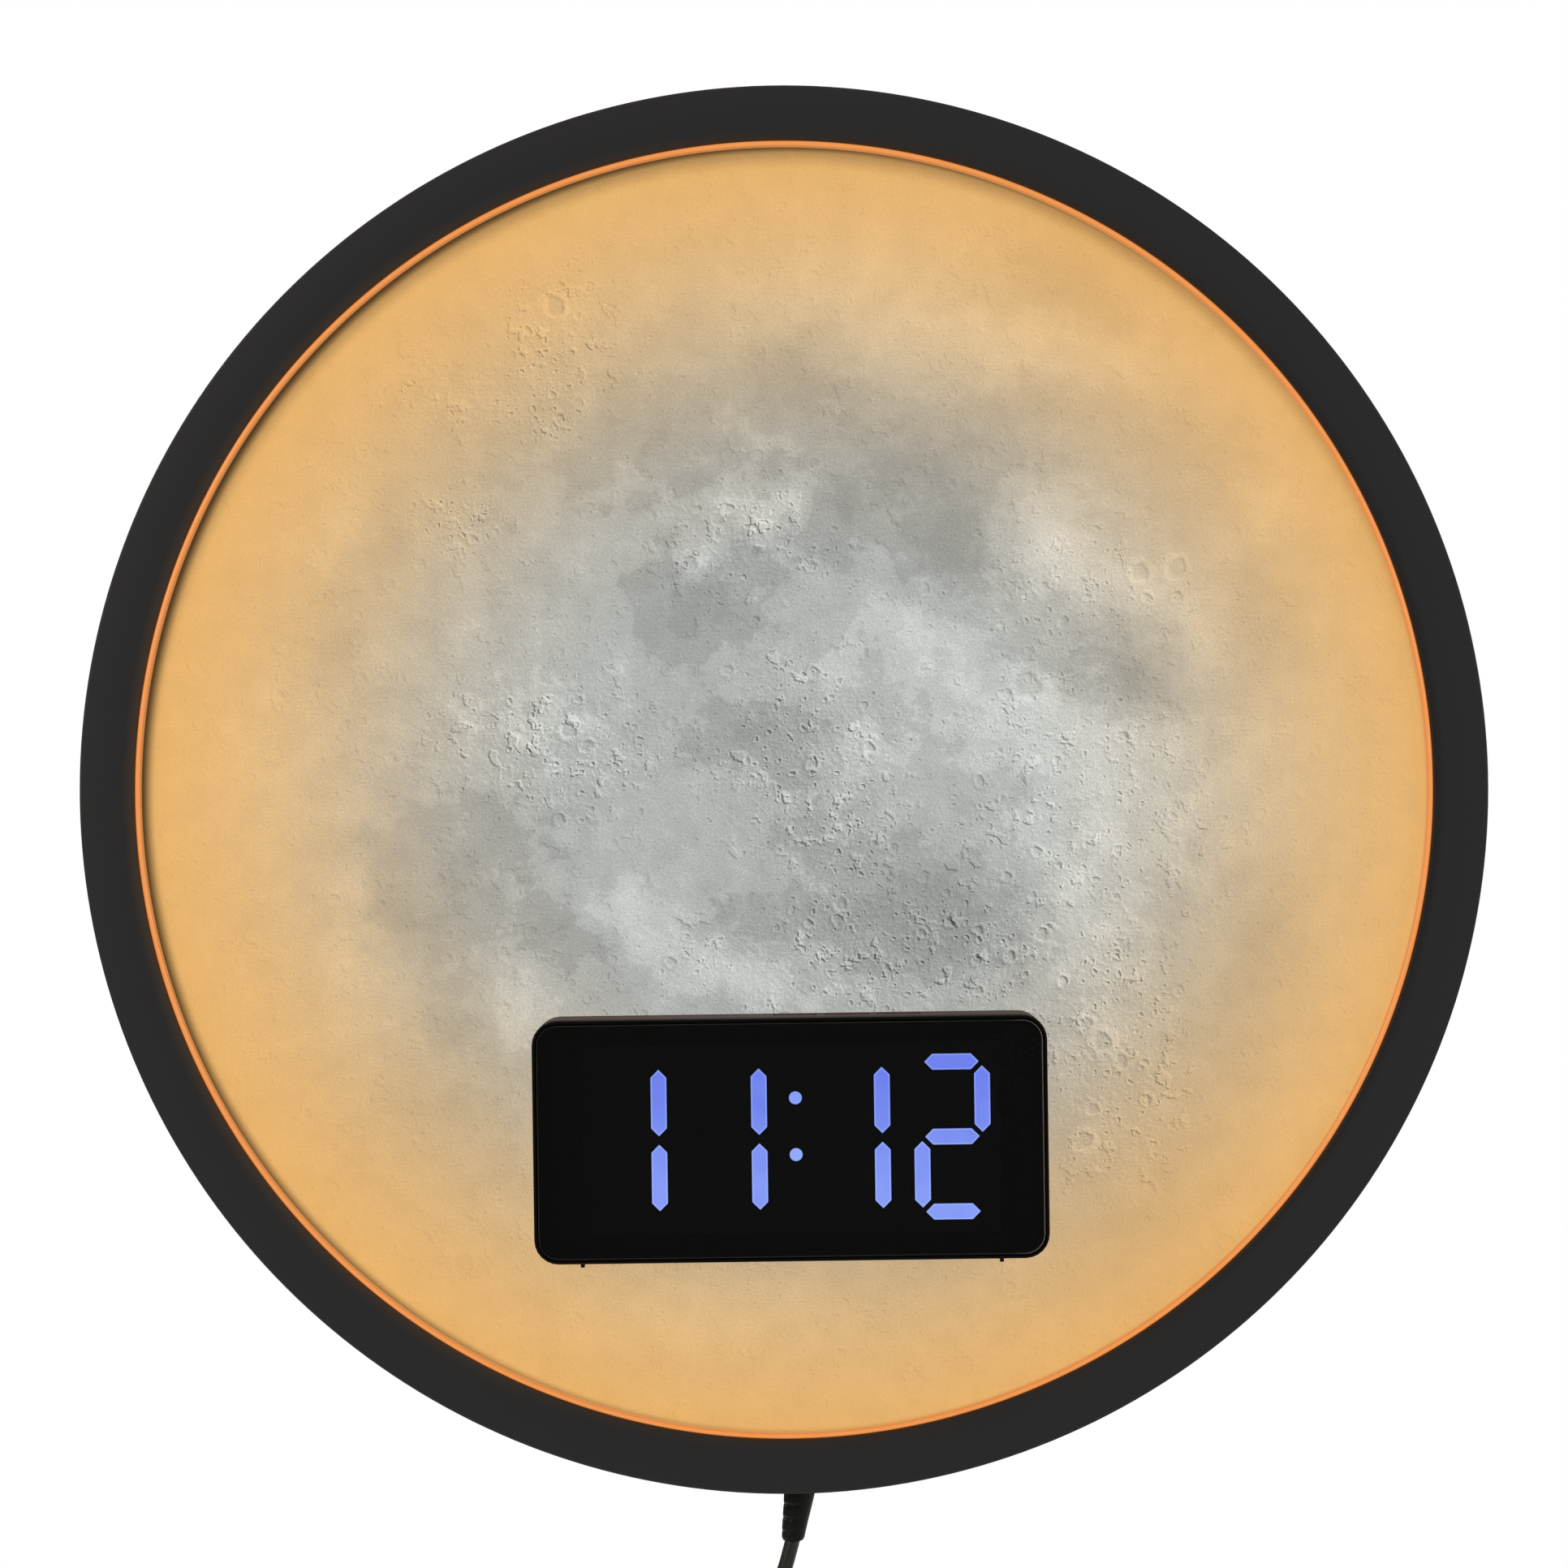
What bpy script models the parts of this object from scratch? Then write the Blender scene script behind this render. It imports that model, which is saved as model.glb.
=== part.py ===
"""Digital wall clock: a lit moon disc in a round frame, with a four-digit clock module on it.

Metres, +Z up. The clock faces -Y and hangs with its flat back on the wall plane y = 0.
The origin is the centre of that flat back, so every y in front of the wall is negative.
"""

import math

import bmesh
import bpy
from mathutils import Matrix, Vector

for leftover in list(bpy.data.objects):
    bpy.data.objects.remove(leftover, do_unlink=True)


# Fits: clearance is the gap that neighbours keep, root is how far a joined-on shape starts inside
# its body, and through is how far a cut runs past the face that it opens
clearance = 0.0003
root = 0.0002
through = 0.0010

# Facets round a circle
frame_steps = 96
glow_steps = 72
cover_steps = 72
inner_steps = 72
cell_steps = 24
buzzer_steps = 20
entry_sides = 16
post_sides = 12
screw_sides = 10

# Frame ring
frame_diameter = 0.3000
frame_depth = 0.0220
frame_face_width = 0.01155
frame_face_thickness = 0.0020
frame_wall = 0.0025
frame_edge_round = 0.0006

# Glow ring at the frame's inner edge
glow_line_width = 0.0010
glow_setback = 0.0002
glow_foot_thickness = 0.0006

# Moon panel and what lies behind it
panel_thickness = 0.0030
panel_overlap = 0.0020
hoop_wall = 0.0015
strip_thickness = 0.0003
strip_width = 0.0080
strip_gap = 0.0060
strip_chip_count = 30
strip_chip_length = 0.0035
strip_chip_width = 0.0028
strip_chip_height = 0.0008
reflector_thickness = 0.0004
reflector_margin = 0.0006

# Back cover and its screws
cover_thickness = 0.0024
cover_inset = 0.0006
cover_lip_height = 0.0018
cover_lip_wall = 0.0013
cover_lip_seat = 0.0001
boss_count = 6
boss_radius = 0.0034
boss_hole_spare = 0.0037
screw_shank_radius = 0.0011
screw_head_radius = 0.0024
screw_head_rim = 0.0003
screw_length = 0.0110

# Keyhole hanger: the slot sets the pocket, and the pocket sets the plate
hanger_drop = 0.0550
keyhole_radius = 0.00475
keyhole_slot_radius = 0.00225
keyhole_slot_length = 0.0090
keyhole_slot_corner = 0.00214
pocket_side_margin = 0.00175
pocket_end_margin = 0.00125
pocket_depth = 0.0057
pocket_wall = 0.0016
plate_side_margin = 0.0035
plate_end_margin = 0.0040
plate_thickness = 0.0012
plate_setback = 0.0001
plate_corner = 0.0030
plate_pad_thickness = 0.0018
plate_screw_offset = 0.0055
plate_screw_length = 0.0060
plate_boss_end_wall = 0.0020

# Driver board
driver_x = 0.0035
driver_rim_gap = 0.00405
driver_width = 0.0400
driver_height = 0.0200
circuit_thickness = 0.0016
driver_post_height = 0.0036
driver_post_radius = 0.0026
driver_post_inset = 0.0035
driver_screw_length = 0.0045
driver_screw_head_height = 0.0012
driver_screw_crown = 0.0005
connector_width = 0.0075
connector_height = 0.0060
connector_depth = 0.0045
strip_socket_offset = -0.01125
module_socket_offset = 0.0090
choke_offset = -0.0075
choke_edge_gap = 0.0015

# Clock module: the digits set the window, and the window sets the casing. It keeps its height over
# the frame's lowest point.
module_x = 0.0014
module_rise = 0.0769
module_tilt = 0.8
module_side_border = 0.00985
module_end_border = 0.0054
module_corner = 0.0051
module_edge_round = 0.0005
shell_wall = 0.0018
shell_rim = 0.00065
lens_thickness = 0.0015
ledge_thickness = 0.0010
window_side_margin = 0.0021
window_end_margin = 0.00265
board_room_spare = 0.0010
rear_plate_thickness = 0.0018
module_boss_inset = 0.0030
module_boss_radius = 0.0031
module_screw_shank_radius = 0.0008
module_screw_head_radius = 0.0018
module_screw_length = 0.0070
pad_inset = 0.0080
pad_thickness = 0.0010
pip_spacing = 0.0880
pip_radius = 0.0007
pip_tip_radius = 0.0004
pip_height = 0.0012
pip_setback = 0.0050
wire_hole_radius = 0.0025

# Display
digit_gap = 0.0050
colon_extra_gap = 0.0048
column_separation = 0.0127
row_separation = 0.0157
upright_tip_gap = 0.0009
level_tip_gap = 0.00065
segment_width = 0.0033
colon_dot_radius = 0.00135
colon_dot_separation = 0.0119
colon_x = 0.0011
colon_rise = 0.0026
film_end_margin = 0.0016
mask_thickness = 0.0003
diffuser_thickness = 0.0004
block_end_margin = 0.0018
block_thickness = 0.0050
well_margin = 0.00015
well_taper = 0.62
chip_length = 0.0012
chip_width = 0.0008
chip_height = 0.0006

# Keys and what they press
key_names = ("set", "down", "up")
key_row_x = 0.0123
key_pitch = 0.0110
key_length = 0.0086
key_width = 0.0034
key_corner = 0.0007
key_proud = 0.0002
key_travel = 0.0004
key_ear = 0.0006
key_flange_thickness = 0.0008
key_stem_radius = 0.0012
key_stem_length = 0.0018
plunger_radius = 0.0008
plunger_length = 0.0026
plunger_reach = 0.0011
switch_width = 0.0060
switch_depth = 0.0035
switch_height = 0.0040

# Pieces on the back of the main board
cell_x = -0.0300
cell_radius = 0.0100
cell_thickness = 0.0025
cell_edge_step = 0.0010
cell_edge_rise = 0.0005
holder_wall = 0.0008
holder_base = 0.0006
holder_lip = 0.0002
buzzer_x = -0.0090
buzzer_z = -0.0100
buzzer_radius = 0.0045
buzzer_height = 0.0025
buzzer_hole_radius = 0.0010
buzzer_hole_depth = 0.0012

# Cord: 1.5 m of 3.2 mm lead, wound into a hanging coil. The routes are steps from the relief's
# end, from the coil's last point, and from the sockets on the driver board.
cord_diameter = 0.0032
relief_entry_x = 0.0035
relief_neck_wall = 0.0016
relief_flange_lip = 0.0012
relief_flange_thickness = 0.0011
relief_top_wall = 0.0019
relief_end_wall = 0.0008
relief_tip_wall = 0.00044
relief_rib_depth = 0.00035
relief_rib_count = 4
relief_length = 0.0118
relief_lean = -0.00157
relief_bow = 0.35
upper_route = [
    (-0.00013, 0.0000, -0.0003),
    (-0.00055, 0.0000, -0.0019),
    (-0.00175, 0.0002, -0.0062),
    (-0.00363, 0.0012, -0.0111),
    (-0.00593, 0.0034, -0.0158),
    (-0.00753, 0.0046, -0.0184),
]
coil_centre_x = 0.01050
coil_drop = 0.05010
coil_off_wall = 0.0009
coil_gap = 0.0006
coil_mean_diameter = 0.0384
coil_layers = 4
coil_turns_a_layer = 3
coil_last_turn = 0.125
coil_start_angle = 135.0
coil_points_a_turn = 24
coil_climb_turns = 0.5
lower_route = [
    (0.00000, 0.0000, 0.0000),
    (0.00000, 0.0000, -0.0032),
    (-0.00010, 0.0000, -0.0070),
    (0.00010, 0.0006, -0.0120),
    (0.00060, 0.0020, -0.0172),
    (0.00080, 0.0026, -0.0212),
    (0.00080, 0.0026, -0.0240),
]
tie_thickness = 0.0010
tie_width = 0.0080
tie_slack = 0.0005
tie_corner = 0.0020

# Leads inside the frame
inner_lead_straight = 0.0030
inner_lead_spacing = 0.0030
strip_lead_radius = 0.0007
strip_lead_spacing = 0.0012
strip_lead_start = [(-0.0010, 0.0, 0.0012), (-0.0025, 0.0, 0.0016)]
strip_lead_end = [(0.0010, 0.0, -0.0026), (0.0, 0.0, -0.0014), (0.0, 0.0, -0.0003)]
module_lead_radius = 0.0012
module_lead_spacing = 0.0040
module_lead_start = [(0.0, 0.0005, 0.0), (0.0010, 0.0045, -0.0030), (0.0040, 0.0057, -0.0120)]
module_lead_end = [(0.0, 0.0, 0.0080), (0.0, 0.0, 0.0003)]

# USB-A plug
grip_side_wall = 0.00175
grip_face_wall = 0.00155
grip_height = 0.0240
grip_corner = 0.0022
grip_tail_length = 0.0060
grip_tail_wall = 0.0010
grip_shoulder_wall = 0.0019
usb_width = 0.0120
usb_depth = 0.0045
usb_length = 0.0138
usb_seat = 0.0020
usb_sheet = 0.0003
latch_size = 0.0024
latch_drop = 0.0050
tongue_thickness = 0.0016
tongue_setback = 0.0005


# Places that follow from the sizes above: the frame, front to back
frame_radius = frame_diameter / 2
front_y = -frame_depth
opening_radius = frame_radius - frame_face_width
face_back_y = front_y + frame_face_thickness
glow_outer_radius = opening_radius - clearance
glow_inner_radius = glow_outer_radius - glow_line_width
panel_radius = opening_radius + panel_overlap
glow_foot_front_y = face_back_y + clearance
glow_foot_back_y = glow_foot_front_y + glow_foot_thickness
panel_front_y = glow_foot_back_y + clearance
panel_back_y = panel_front_y + panel_thickness
cover_inner_y = -cover_thickness
cover_lip_end_y = cover_inner_y - cover_lip_height
frame_back_y = cover_inner_y - clearance
wall_inner_radius = frame_radius - frame_wall
boss_ring_radius = wall_inner_radius - boss_radius + root
hoop_outer_radius = panel_radius
hoop_inner_radius = hoop_outer_radius - hoop_wall
hoop_front_y = panel_back_y + clearance
hoop_back_y = cover_inner_y - clearance
strip_outer_radius = hoop_inner_radius - clearance
strip_inner_radius = strip_outer_radius - strip_thickness
strip_y = (hoop_front_y + hoop_back_y) / 2
reflector_back_y = cover_inner_y - clearance
reflector_front_y = reflector_back_y - reflector_thickness
reflector_radius = hoop_inner_radius - clearance

# The module's height on the panel
module_z = module_rise - frame_radius

# The hanger's pocket and plate, about the keyhole
hanger_height = frame_radius - hanger_drop
pocket_width = 2 * (keyhole_radius + pocket_side_margin)
pocket_height = keyhole_slot_length + 2 * (keyhole_radius + pocket_end_margin)
plate_front_y = -plate_setback - plate_thickness
pocket_front_y = plate_front_y - clearance - pocket_depth
plate_width = pocket_width + 2 * plate_side_margin
plate_screw_spacing = pocket_height + 2 * plate_screw_offset
plate_height = plate_screw_spacing + 2 * plate_end_margin
plate_hole_end_y = -plate_setback - plate_screw_length - clearance

# The driver board, on its posts
driver_bottom = -strip_inner_radius + strip_chip_height + driver_rim_gap
driver_top = driver_bottom + driver_height
driver_z = (driver_bottom + driver_top) / 2
driver_post_spacing = driver_width - 2 * driver_post_inset
driver_back_y = cover_inner_y - driver_post_height - clearance
driver_front_y = driver_back_y - circuit_thickness
driver_lead_y = driver_front_y - connector_depth / 2
strip_socket_x = driver_x + strip_socket_offset
module_socket_x = driver_x + module_socket_offset

# The module's outline, from its digits outwards
digit_pitch = column_separation + segment_width + digit_gap
upright_length = row_separation - 2 * upright_tip_gap
level_length = column_separation - 2 * level_tip_gap
display_width = 3 * digit_pitch + colon_extra_gap + column_separation + segment_width
display_height = 2 * row_separation + segment_width
window_width = display_width + 2 * window_side_margin
window_height = display_height + 2 * window_end_margin
module_width = window_width + 2 * module_side_border
module_height = window_height + 2 * module_end_border
cavity_width = module_width - 2 * shell_wall
cavity_height = module_height - 2 * shell_wall
cavity_corner = module_corner - shell_wall
cavity_top = cavity_height / 2
screw_x = cavity_width / 2 - module_boss_inset
screw_z = cavity_height / 2 - module_boss_inset
module_screw_places = [(x, z) for x in (-screw_x, screw_x) for z in (-screw_z, screw_z)]
film_width = 2 * (screw_x - module_boss_radius - clearance)
film_height = cavity_height - 2 * film_end_margin
block_height = film_height - 2 * block_end_margin

# The module, back to front, measured from its own back face
module_y = panel_front_y - clearance - pad_thickness - clearance
holder_height = holder_base + clearance + cell_thickness + holder_lip
rear_plate_front = -rear_plate_thickness
parts_front = rear_plate_front - board_room_spare - holder_height
board_back = parts_front - clearance
board_front = board_back - circuit_thickness
block_back = board_front - clearance
block_front = block_back - block_thickness
diffuser_back = block_front - clearance
diffuser_front = diffuser_back - diffuser_thickness
mask_back = diffuser_front - clearance
mask_front = mask_back - mask_thickness
ledge_back = mask_front - clearance
ledge_front = ledge_back - ledge_thickness
lens_back = ledge_front - clearance
module_front = lens_back - lens_thickness
key_y = parts_front + switch_depth / 2
key_flange_top = cavity_top - clearance
key_flange_bottom = key_flange_top - key_flange_thickness
key_stem_bottom = key_flange_bottom - key_stem_length
plunger_top = key_stem_bottom - clearance
plunger_bottom = plunger_top - plunger_length
switch_top = plunger_top - plunger_reach
switch_bore_bottom = plunger_bottom - key_travel - clearance

# The cord, from the frame's bottom down
cord_radius = cord_diameter / 2
relief_neck_radius = cord_radius + relief_neck_wall
relief_flange_radius = relief_neck_radius + relief_flange_lip
relief_top_radius = cord_radius + relief_top_wall
relief_end_radius = cord_radius + relief_end_wall
cord_y = cover_lip_end_y - clearance - relief_flange_radius
relief_top_z = -frame_radius - clearance
relief_end = Vector((relief_entry_x + relief_lean, cord_y, relief_top_z - relief_length))
coil_centre_z = -frame_radius - coil_drop
coil_pitch = cord_diameter + coil_gap
coil_back_y = -coil_off_wall - tie_thickness - tie_slack - cord_radius
coil_outer_radius = (coil_mean_diameter + coil_pitch * coil_turns_a_layer) / 2
coil_inner_radius = coil_outer_radius - coil_pitch * coil_turns_a_layer


# Collections and finishes
parts = bpy.data.collections.new("moon_wall_clock")
bpy.context.scene.collection.children.link(parts)
cutters = bpy.data.collections.new("cutters")
bpy.context.scene.collection.children.link(cutters)

charcoal_paint = ((0.025, 0.025, 0.025), 0.6, 0.0)
lit_amber = ((0.86, 0.33, 0.08), 0.3, 0.0)
moon_print = ((0.48, 0.42, 0.32), 0.45, 0.0)
white_plastic = ((0.80, 0.80, 0.78), 0.5, 0.0)
white_film = ((0.90, 0.90, 0.88), 0.7, 0.0)
strip_white = ((0.85, 0.85, 0.80), 0.4, 0.0)
black_plastic = ((0.02, 0.02, 0.02), 0.5, 0.0)
gloss_black = ((0.004, 0.004, 0.004), 0.05, 0.0)
black_film = ((0.006, 0.006, 0.006), 0.6, 0.0)
zinc_steel = ((0.55, 0.56, 0.58), 0.35, 1.0)
board_green = ((0.02, 0.11, 0.05), 0.45, 0.0)
cell_steel = ((0.62, 0.62, 0.62), 0.25, 1.0)
grey_foam = ((0.20, 0.20, 0.20), 0.9, 0.0)
black_rubber = ((0.015, 0.015, 0.014), 0.55, 0.0)
nickel_sheet = ((0.66, 0.64, 0.60), 0.25, 1.0)


def dress(piece, finish):
    """Gives a piece its own material."""
    colour, roughness, metallic = finish
    material = bpy.data.materials.new(piece.name)
    material.use_nodes = True
    shader = material.node_tree.nodes["Principled BSDF"]
    shader.inputs["Base Color"].default_value = (*colour, 1.0)
    shader.inputs["Roughness"].default_value = roughness
    shader.inputs["Metallic"].default_value = metallic
    piece.data.materials.append(material)
    return piece


def solid(name, finish, shape, parent=None, place=(0.0, 0.0, 0.0)):
    """Makes a part from a bmesh."""
    bmesh.ops.recalc_face_normals(shape, faces=shape.faces)
    mesh = bpy.data.meshes.new(name)
    shape.to_mesh(mesh)
    shape.free()
    piece = bpy.data.objects.new(name, mesh)
    parts.objects.link(piece)
    piece.parent = parent
    piece.location = place
    return dress(piece, finish)


def tool(name, shape, parent=None):
    """Makes a cutter, or a shape to be joined on, from a bmesh."""
    bmesh.ops.recalc_face_normals(shape, faces=shape.faces)
    mesh = bpy.data.meshes.new(name)
    shape.to_mesh(mesh)
    shape.free()
    cutter = bpy.data.objects.new(name, mesh)
    cutters.objects.link(cutter)
    cutter.parent = parent
    cutter.hide_render = True
    cutter.display_type = "WIRE"
    return cutter


def combine(piece, operation, other):
    change = piece.modifiers.new(other.name, "BOOLEAN")
    change.operation = operation
    change.solver = "EXACT"
    change.object = other


def cut(piece, cutter):
    combine(piece, "DIFFERENCE", cutter)


def join(piece, addition):
    combine(piece, "UNION", addition)


def turned(name, finish, profile, steps, parent=None, place=(0.0, 0.0, 0.0)):
    """A solid turned about Y from a closed profile of (radius, y) points."""
    pairs = list(zip(profile, profile[1:] + profile[:1]))
    area = sum(r0 * y1 - r1 * y0 for (r0, y0), (r1, y1) in pairs)
    if area > 0:
        profile = profile[::-1]
    shape = bmesh.new()
    points = [shape.verts.new((radius, y, 0.0)) for radius, y in profile]
    for first, second in zip(points, points[1:] + points[:1]):
        if max(first.co.x, second.co.x) > 0:
            shape.edges.new((first, second))
    mesh = bpy.data.meshes.new(name)
    shape.to_mesh(mesh)
    shape.free()
    piece = bpy.data.objects.new(name, mesh)
    parts.objects.link(piece)
    piece.parent = parent
    piece.location = place
    screw = piece.modifiers.new("turn", "SCREW")
    screw.axis = "Y"
    screw.steps = steps
    screw.render_steps = steps
    screw.use_merge_vertices = True
    screw.merge_threshold = 0.00001
    return dress(piece, finish)


def add_rod(shape, start, end, radius, segments, end_radius=None):
    """Adds a cylinder or a cone that runs from start to end."""
    start = Vector(start)
    end = Vector(end)
    run = end - start
    turn = run.to_track_quat("Z", "Y").to_matrix().to_4x4()
    half_side = Matrix.Rotation(math.pi / segments, 4, "Z")
    bmesh.ops.create_cone(
        shape,
        cap_ends=True,
        segments=segments,
        radius1=radius,
        radius2=radius if end_radius is None else end_radius,
        depth=run.length,
        matrix=Matrix.Translation((start + end) / 2) @ turn @ half_side,
    )


def add_block(shape, low, high, corner=0.0, segments=4, along=1):
    """Adds a box, with the four edges that run along one axis rounded."""
    low = Vector(low)
    high = Vector(high)
    size = high - low
    place = Matrix.Translation((low + high) / 2) @ Matrix.Diagonal((*size, 1.0))
    made = bmesh.ops.create_cube(shape, size=1.0, matrix=place)
    if corner <= 0:
        return
    edges = {edge for vert in made["verts"] for edge in vert.link_edges}
    rounded = []
    for edge in edges:
        first, second = edge.verts
        if abs(first.co[along] - second.co[along]) > size[along] / 2:
            rounded.append(edge)
    bmesh.ops.bevel(
        shape, geom=rounded, offset=corner, offset_type="OFFSET", segments=segments,
        profile=0.5, affect="EDGES",
    )


def add_plate(shape, width, height, back, front, corner=0.0, segments=4):
    """Adds a plate in the plane of the wall, centred on x and z."""
    add_block(
        shape, (-width / 2, front, -height / 2), (width / 2, back, height / 2), corner, segments,
    )


def round_edges(shape, y, radius, segments=2):
    """Rounds the outline of the face at one y."""
    outline = []
    for edge in shape.edges:
        if all(abs(vert.co.y - y) < 0.00001 for vert in edge.verts):
            outline.append(edge)
    bmesh.ops.bevel(
        shape, geom=outline, offset=radius, offset_type="OFFSET", segments=segments,
        profile=0.5, affect="EDGES",
    )


def smooth_route(points, spacing):
    """Points at an even spacing on a smooth curve through the route's own points."""
    points = [Vector(point) for point in points]
    before = points[0] * 2 - points[1]
    after = points[-1] * 2 - points[-2]
    padded = [before] + points + [after]
    fine = []
    for index in range(1, len(padded) - 2):
        p0, p1, p2, p3 = padded[index - 1:index + 3]
        for step in range(20):
            t = step / 20
            fine.append(
                0.5 * (
                    2 * p1
                    + (p2 - p0) * t
                    + (2 * p0 - 5 * p1 + 4 * p2 - p3) * t * t
                    + (3 * p1 - p0 - 3 * p2 + p3) * t * t * t
                )
            )
    fine.append(points[-1])
    lengths = [0.0]
    for first, second in zip(fine, fine[1:]):
        lengths.append(lengths[-1] + (second - first).length)
    count = max(3, round(lengths[-1] / spacing))
    route = []
    index = 0
    for step in range(count + 1):
        wanted = lengths[-1] * step / count
        while index < len(fine) - 2 and lengths[index + 1] < wanted:
            index += 1
        share = (wanted - lengths[index]) / (lengths[index + 1] - lengths[index])
        route.append(fine[index].lerp(fine[index + 1], min(1.0, share)))
    return route


def tube(name, finish, points, radius, resolution=2, shares=None):
    """A round tube along a line of points, with its radius changed by a share at each."""
    curve = bpy.data.curves.new(name, "CURVE")
    curve.dimensions = "3D"
    curve.bevel_depth = radius
    curve.bevel_resolution = resolution
    curve.use_fill_caps = True
    curve.resolution_u = 1
    curve.render_resolution_u = 0
    line = curve.splines.new("POLY")
    line.points.add(len(points) - 1)
    for index, point in enumerate(points):
        line.points[index].co = (*point, 1.0)
        if shares:
            line.points[index].radius = shares[index]
    line.use_smooth = True
    piece = bpy.data.objects.new(name, curve)
    parts.objects.link(piece)
    return dress(piece, finish)


def ring_place(angle, radius):
    """The x and z of a point on a circle about the frame's centre, with the angle in degrees."""
    return radius * math.cos(math.radians(angle)), radius * math.sin(math.radians(angle))


def countersunk_profile(head_radius, shank_radius, length):
    """A countersunk screw's half outline, from its head's face at y = 0 towards the front."""
    cone = head_radius - shank_radius
    return [
        (0.0, 0.0),
        (head_radius, 0.0),
        (head_radius, -screw_head_rim),
        (shank_radius, -screw_head_rim - cone),
        (shank_radius, -length + shank_radius),
        (shank_radius / 2, -length),
        (0.0, -length),
    ]


def countersunk_screw(name, place, head_radius, shank_radius, length, parent=None):
    profile = countersunk_profile(head_radius, shank_radius, length)
    return turned(name, zinc_steel, profile, screw_sides, parent, place)


def drill_for_screws(piece, name, places, back_y, front_y_of_hole, head_radius, shank_radius,
                     parent=None):
    """Countersunk holes that leave the clearance round each screw and its head."""
    cone = head_radius - shank_radius
    shanks = bmesh.new()
    heads = bmesh.new()
    for x, z in places:
        add_rod(
            shanks, (x, back_y + through, z), (x, front_y_of_hole, z), shank_radius + clearance,
            screw_sides,
        )
        seat_y = back_y - screw_head_rim
        add_rod(
            heads, (x, back_y + through, z), (x, seat_y - cone, z),
            head_radius + clearance + through + screw_head_rim, screw_sides, shank_radius + clearance,
        )
    cut(piece, tool(name + "_shanks", shanks, parent))
    cut(piece, tool(name + "_heads", heads, parent))


# Frame ring
boss_angles = [360.0 * index / boss_count for index in range(boss_count)]
boss_places = [ring_place(angle, boss_ring_radius) for angle in boss_angles]


def make_frame_ring():
    ring = turned(
        "frame_ring", charcoal_paint,
        [
            (frame_radius, frame_back_y),
            (frame_radius, front_y + frame_edge_round),
            (frame_radius - frame_edge_round, front_y),
            (opening_radius + frame_edge_round / 2, front_y),
            (opening_radius, front_y + frame_edge_round / 2),
            (opening_radius, face_back_y),
            (wall_inner_radius, face_back_y),
            (wall_inner_radius, frame_back_y),
        ],
        frame_steps,
    )
    bosses = bmesh.new()
    holes = bmesh.new()
    for x, z in boss_places:
        add_rod(bosses, (x, frame_back_y, z), (x, face_back_y - root, z), boss_radius, post_sides)
        add_rod(
            holes, (x, frame_back_y + through, z), (x, -screw_length - boss_hole_spare, z),
            screw_shank_radius + clearance, screw_sides,
        )
    join(ring, tool("frame_bosses", bosses))
    cut(ring, tool("frame_boss_holes", holes))
    cord_hole = bmesh.new()
    add_rod(
        cord_hole, (relief_entry_x, cord_y, -wall_inner_radius + through),
        (relief_entry_x, cord_y, -frame_radius - through), relief_neck_radius + clearance,
        entry_sides,
    )
    cut(ring, tool("frame_cord_hole", cord_hole))


def make_glow_ring():
    turned(
        "glow_ring", lit_amber,
        [
            (glow_inner_radius, front_y + glow_setback),
            (glow_outer_radius, front_y + glow_setback),
            (glow_outer_radius, glow_foot_front_y),
            (panel_radius, glow_foot_front_y),
            (panel_radius, glow_foot_back_y),
            (glow_inner_radius, glow_foot_back_y),
        ],
        glow_steps,
    )


def wire_hole(name, back_y, front_y_of_hole):
    hole = bmesh.new()
    add_rod(
        hole, (module_x, back_y + through, module_z),
        (module_x, front_y_of_hole - through, module_z), wire_hole_radius, post_sides,
    )
    return tool(name, hole)


def make_moon_panel():
    panel = turned(
        "moon_panel", moon_print,
        [
            (0.0, panel_back_y), (panel_radius, panel_back_y),
            (panel_radius, panel_front_y), (0.0, panel_front_y),
        ],
        glow_steps,
    )
    cut(panel, wire_hole("panel_wire_hole", panel_back_y, panel_front_y))


# Spacer hoop, LED strip and reflector
def cord_notch(name):
    """A slot at the bottom, open towards the back cover, that the cord passes."""
    slot = bmesh.new()
    add_block(
        slot,
        (relief_entry_x - strip_gap / 2, hoop_front_y + hoop_wall, -hoop_outer_radius - through),
        (relief_entry_x + strip_gap / 2, hoop_back_y + through, -strip_inner_radius + strip_gap / 2),
    )
    return tool(name, slot)


def make_spacer_hoop():
    hoop = turned(
        "spacer_hoop", white_plastic,
        [
            (hoop_inner_radius, hoop_back_y),
            (hoop_outer_radius, hoop_back_y),
            (hoop_outer_radius, hoop_front_y),
            (hoop_inner_radius, hoop_front_y),
        ],
        inner_steps,
    )
    cut(hoop, cord_notch("hoop_cord_notch"))


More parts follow.
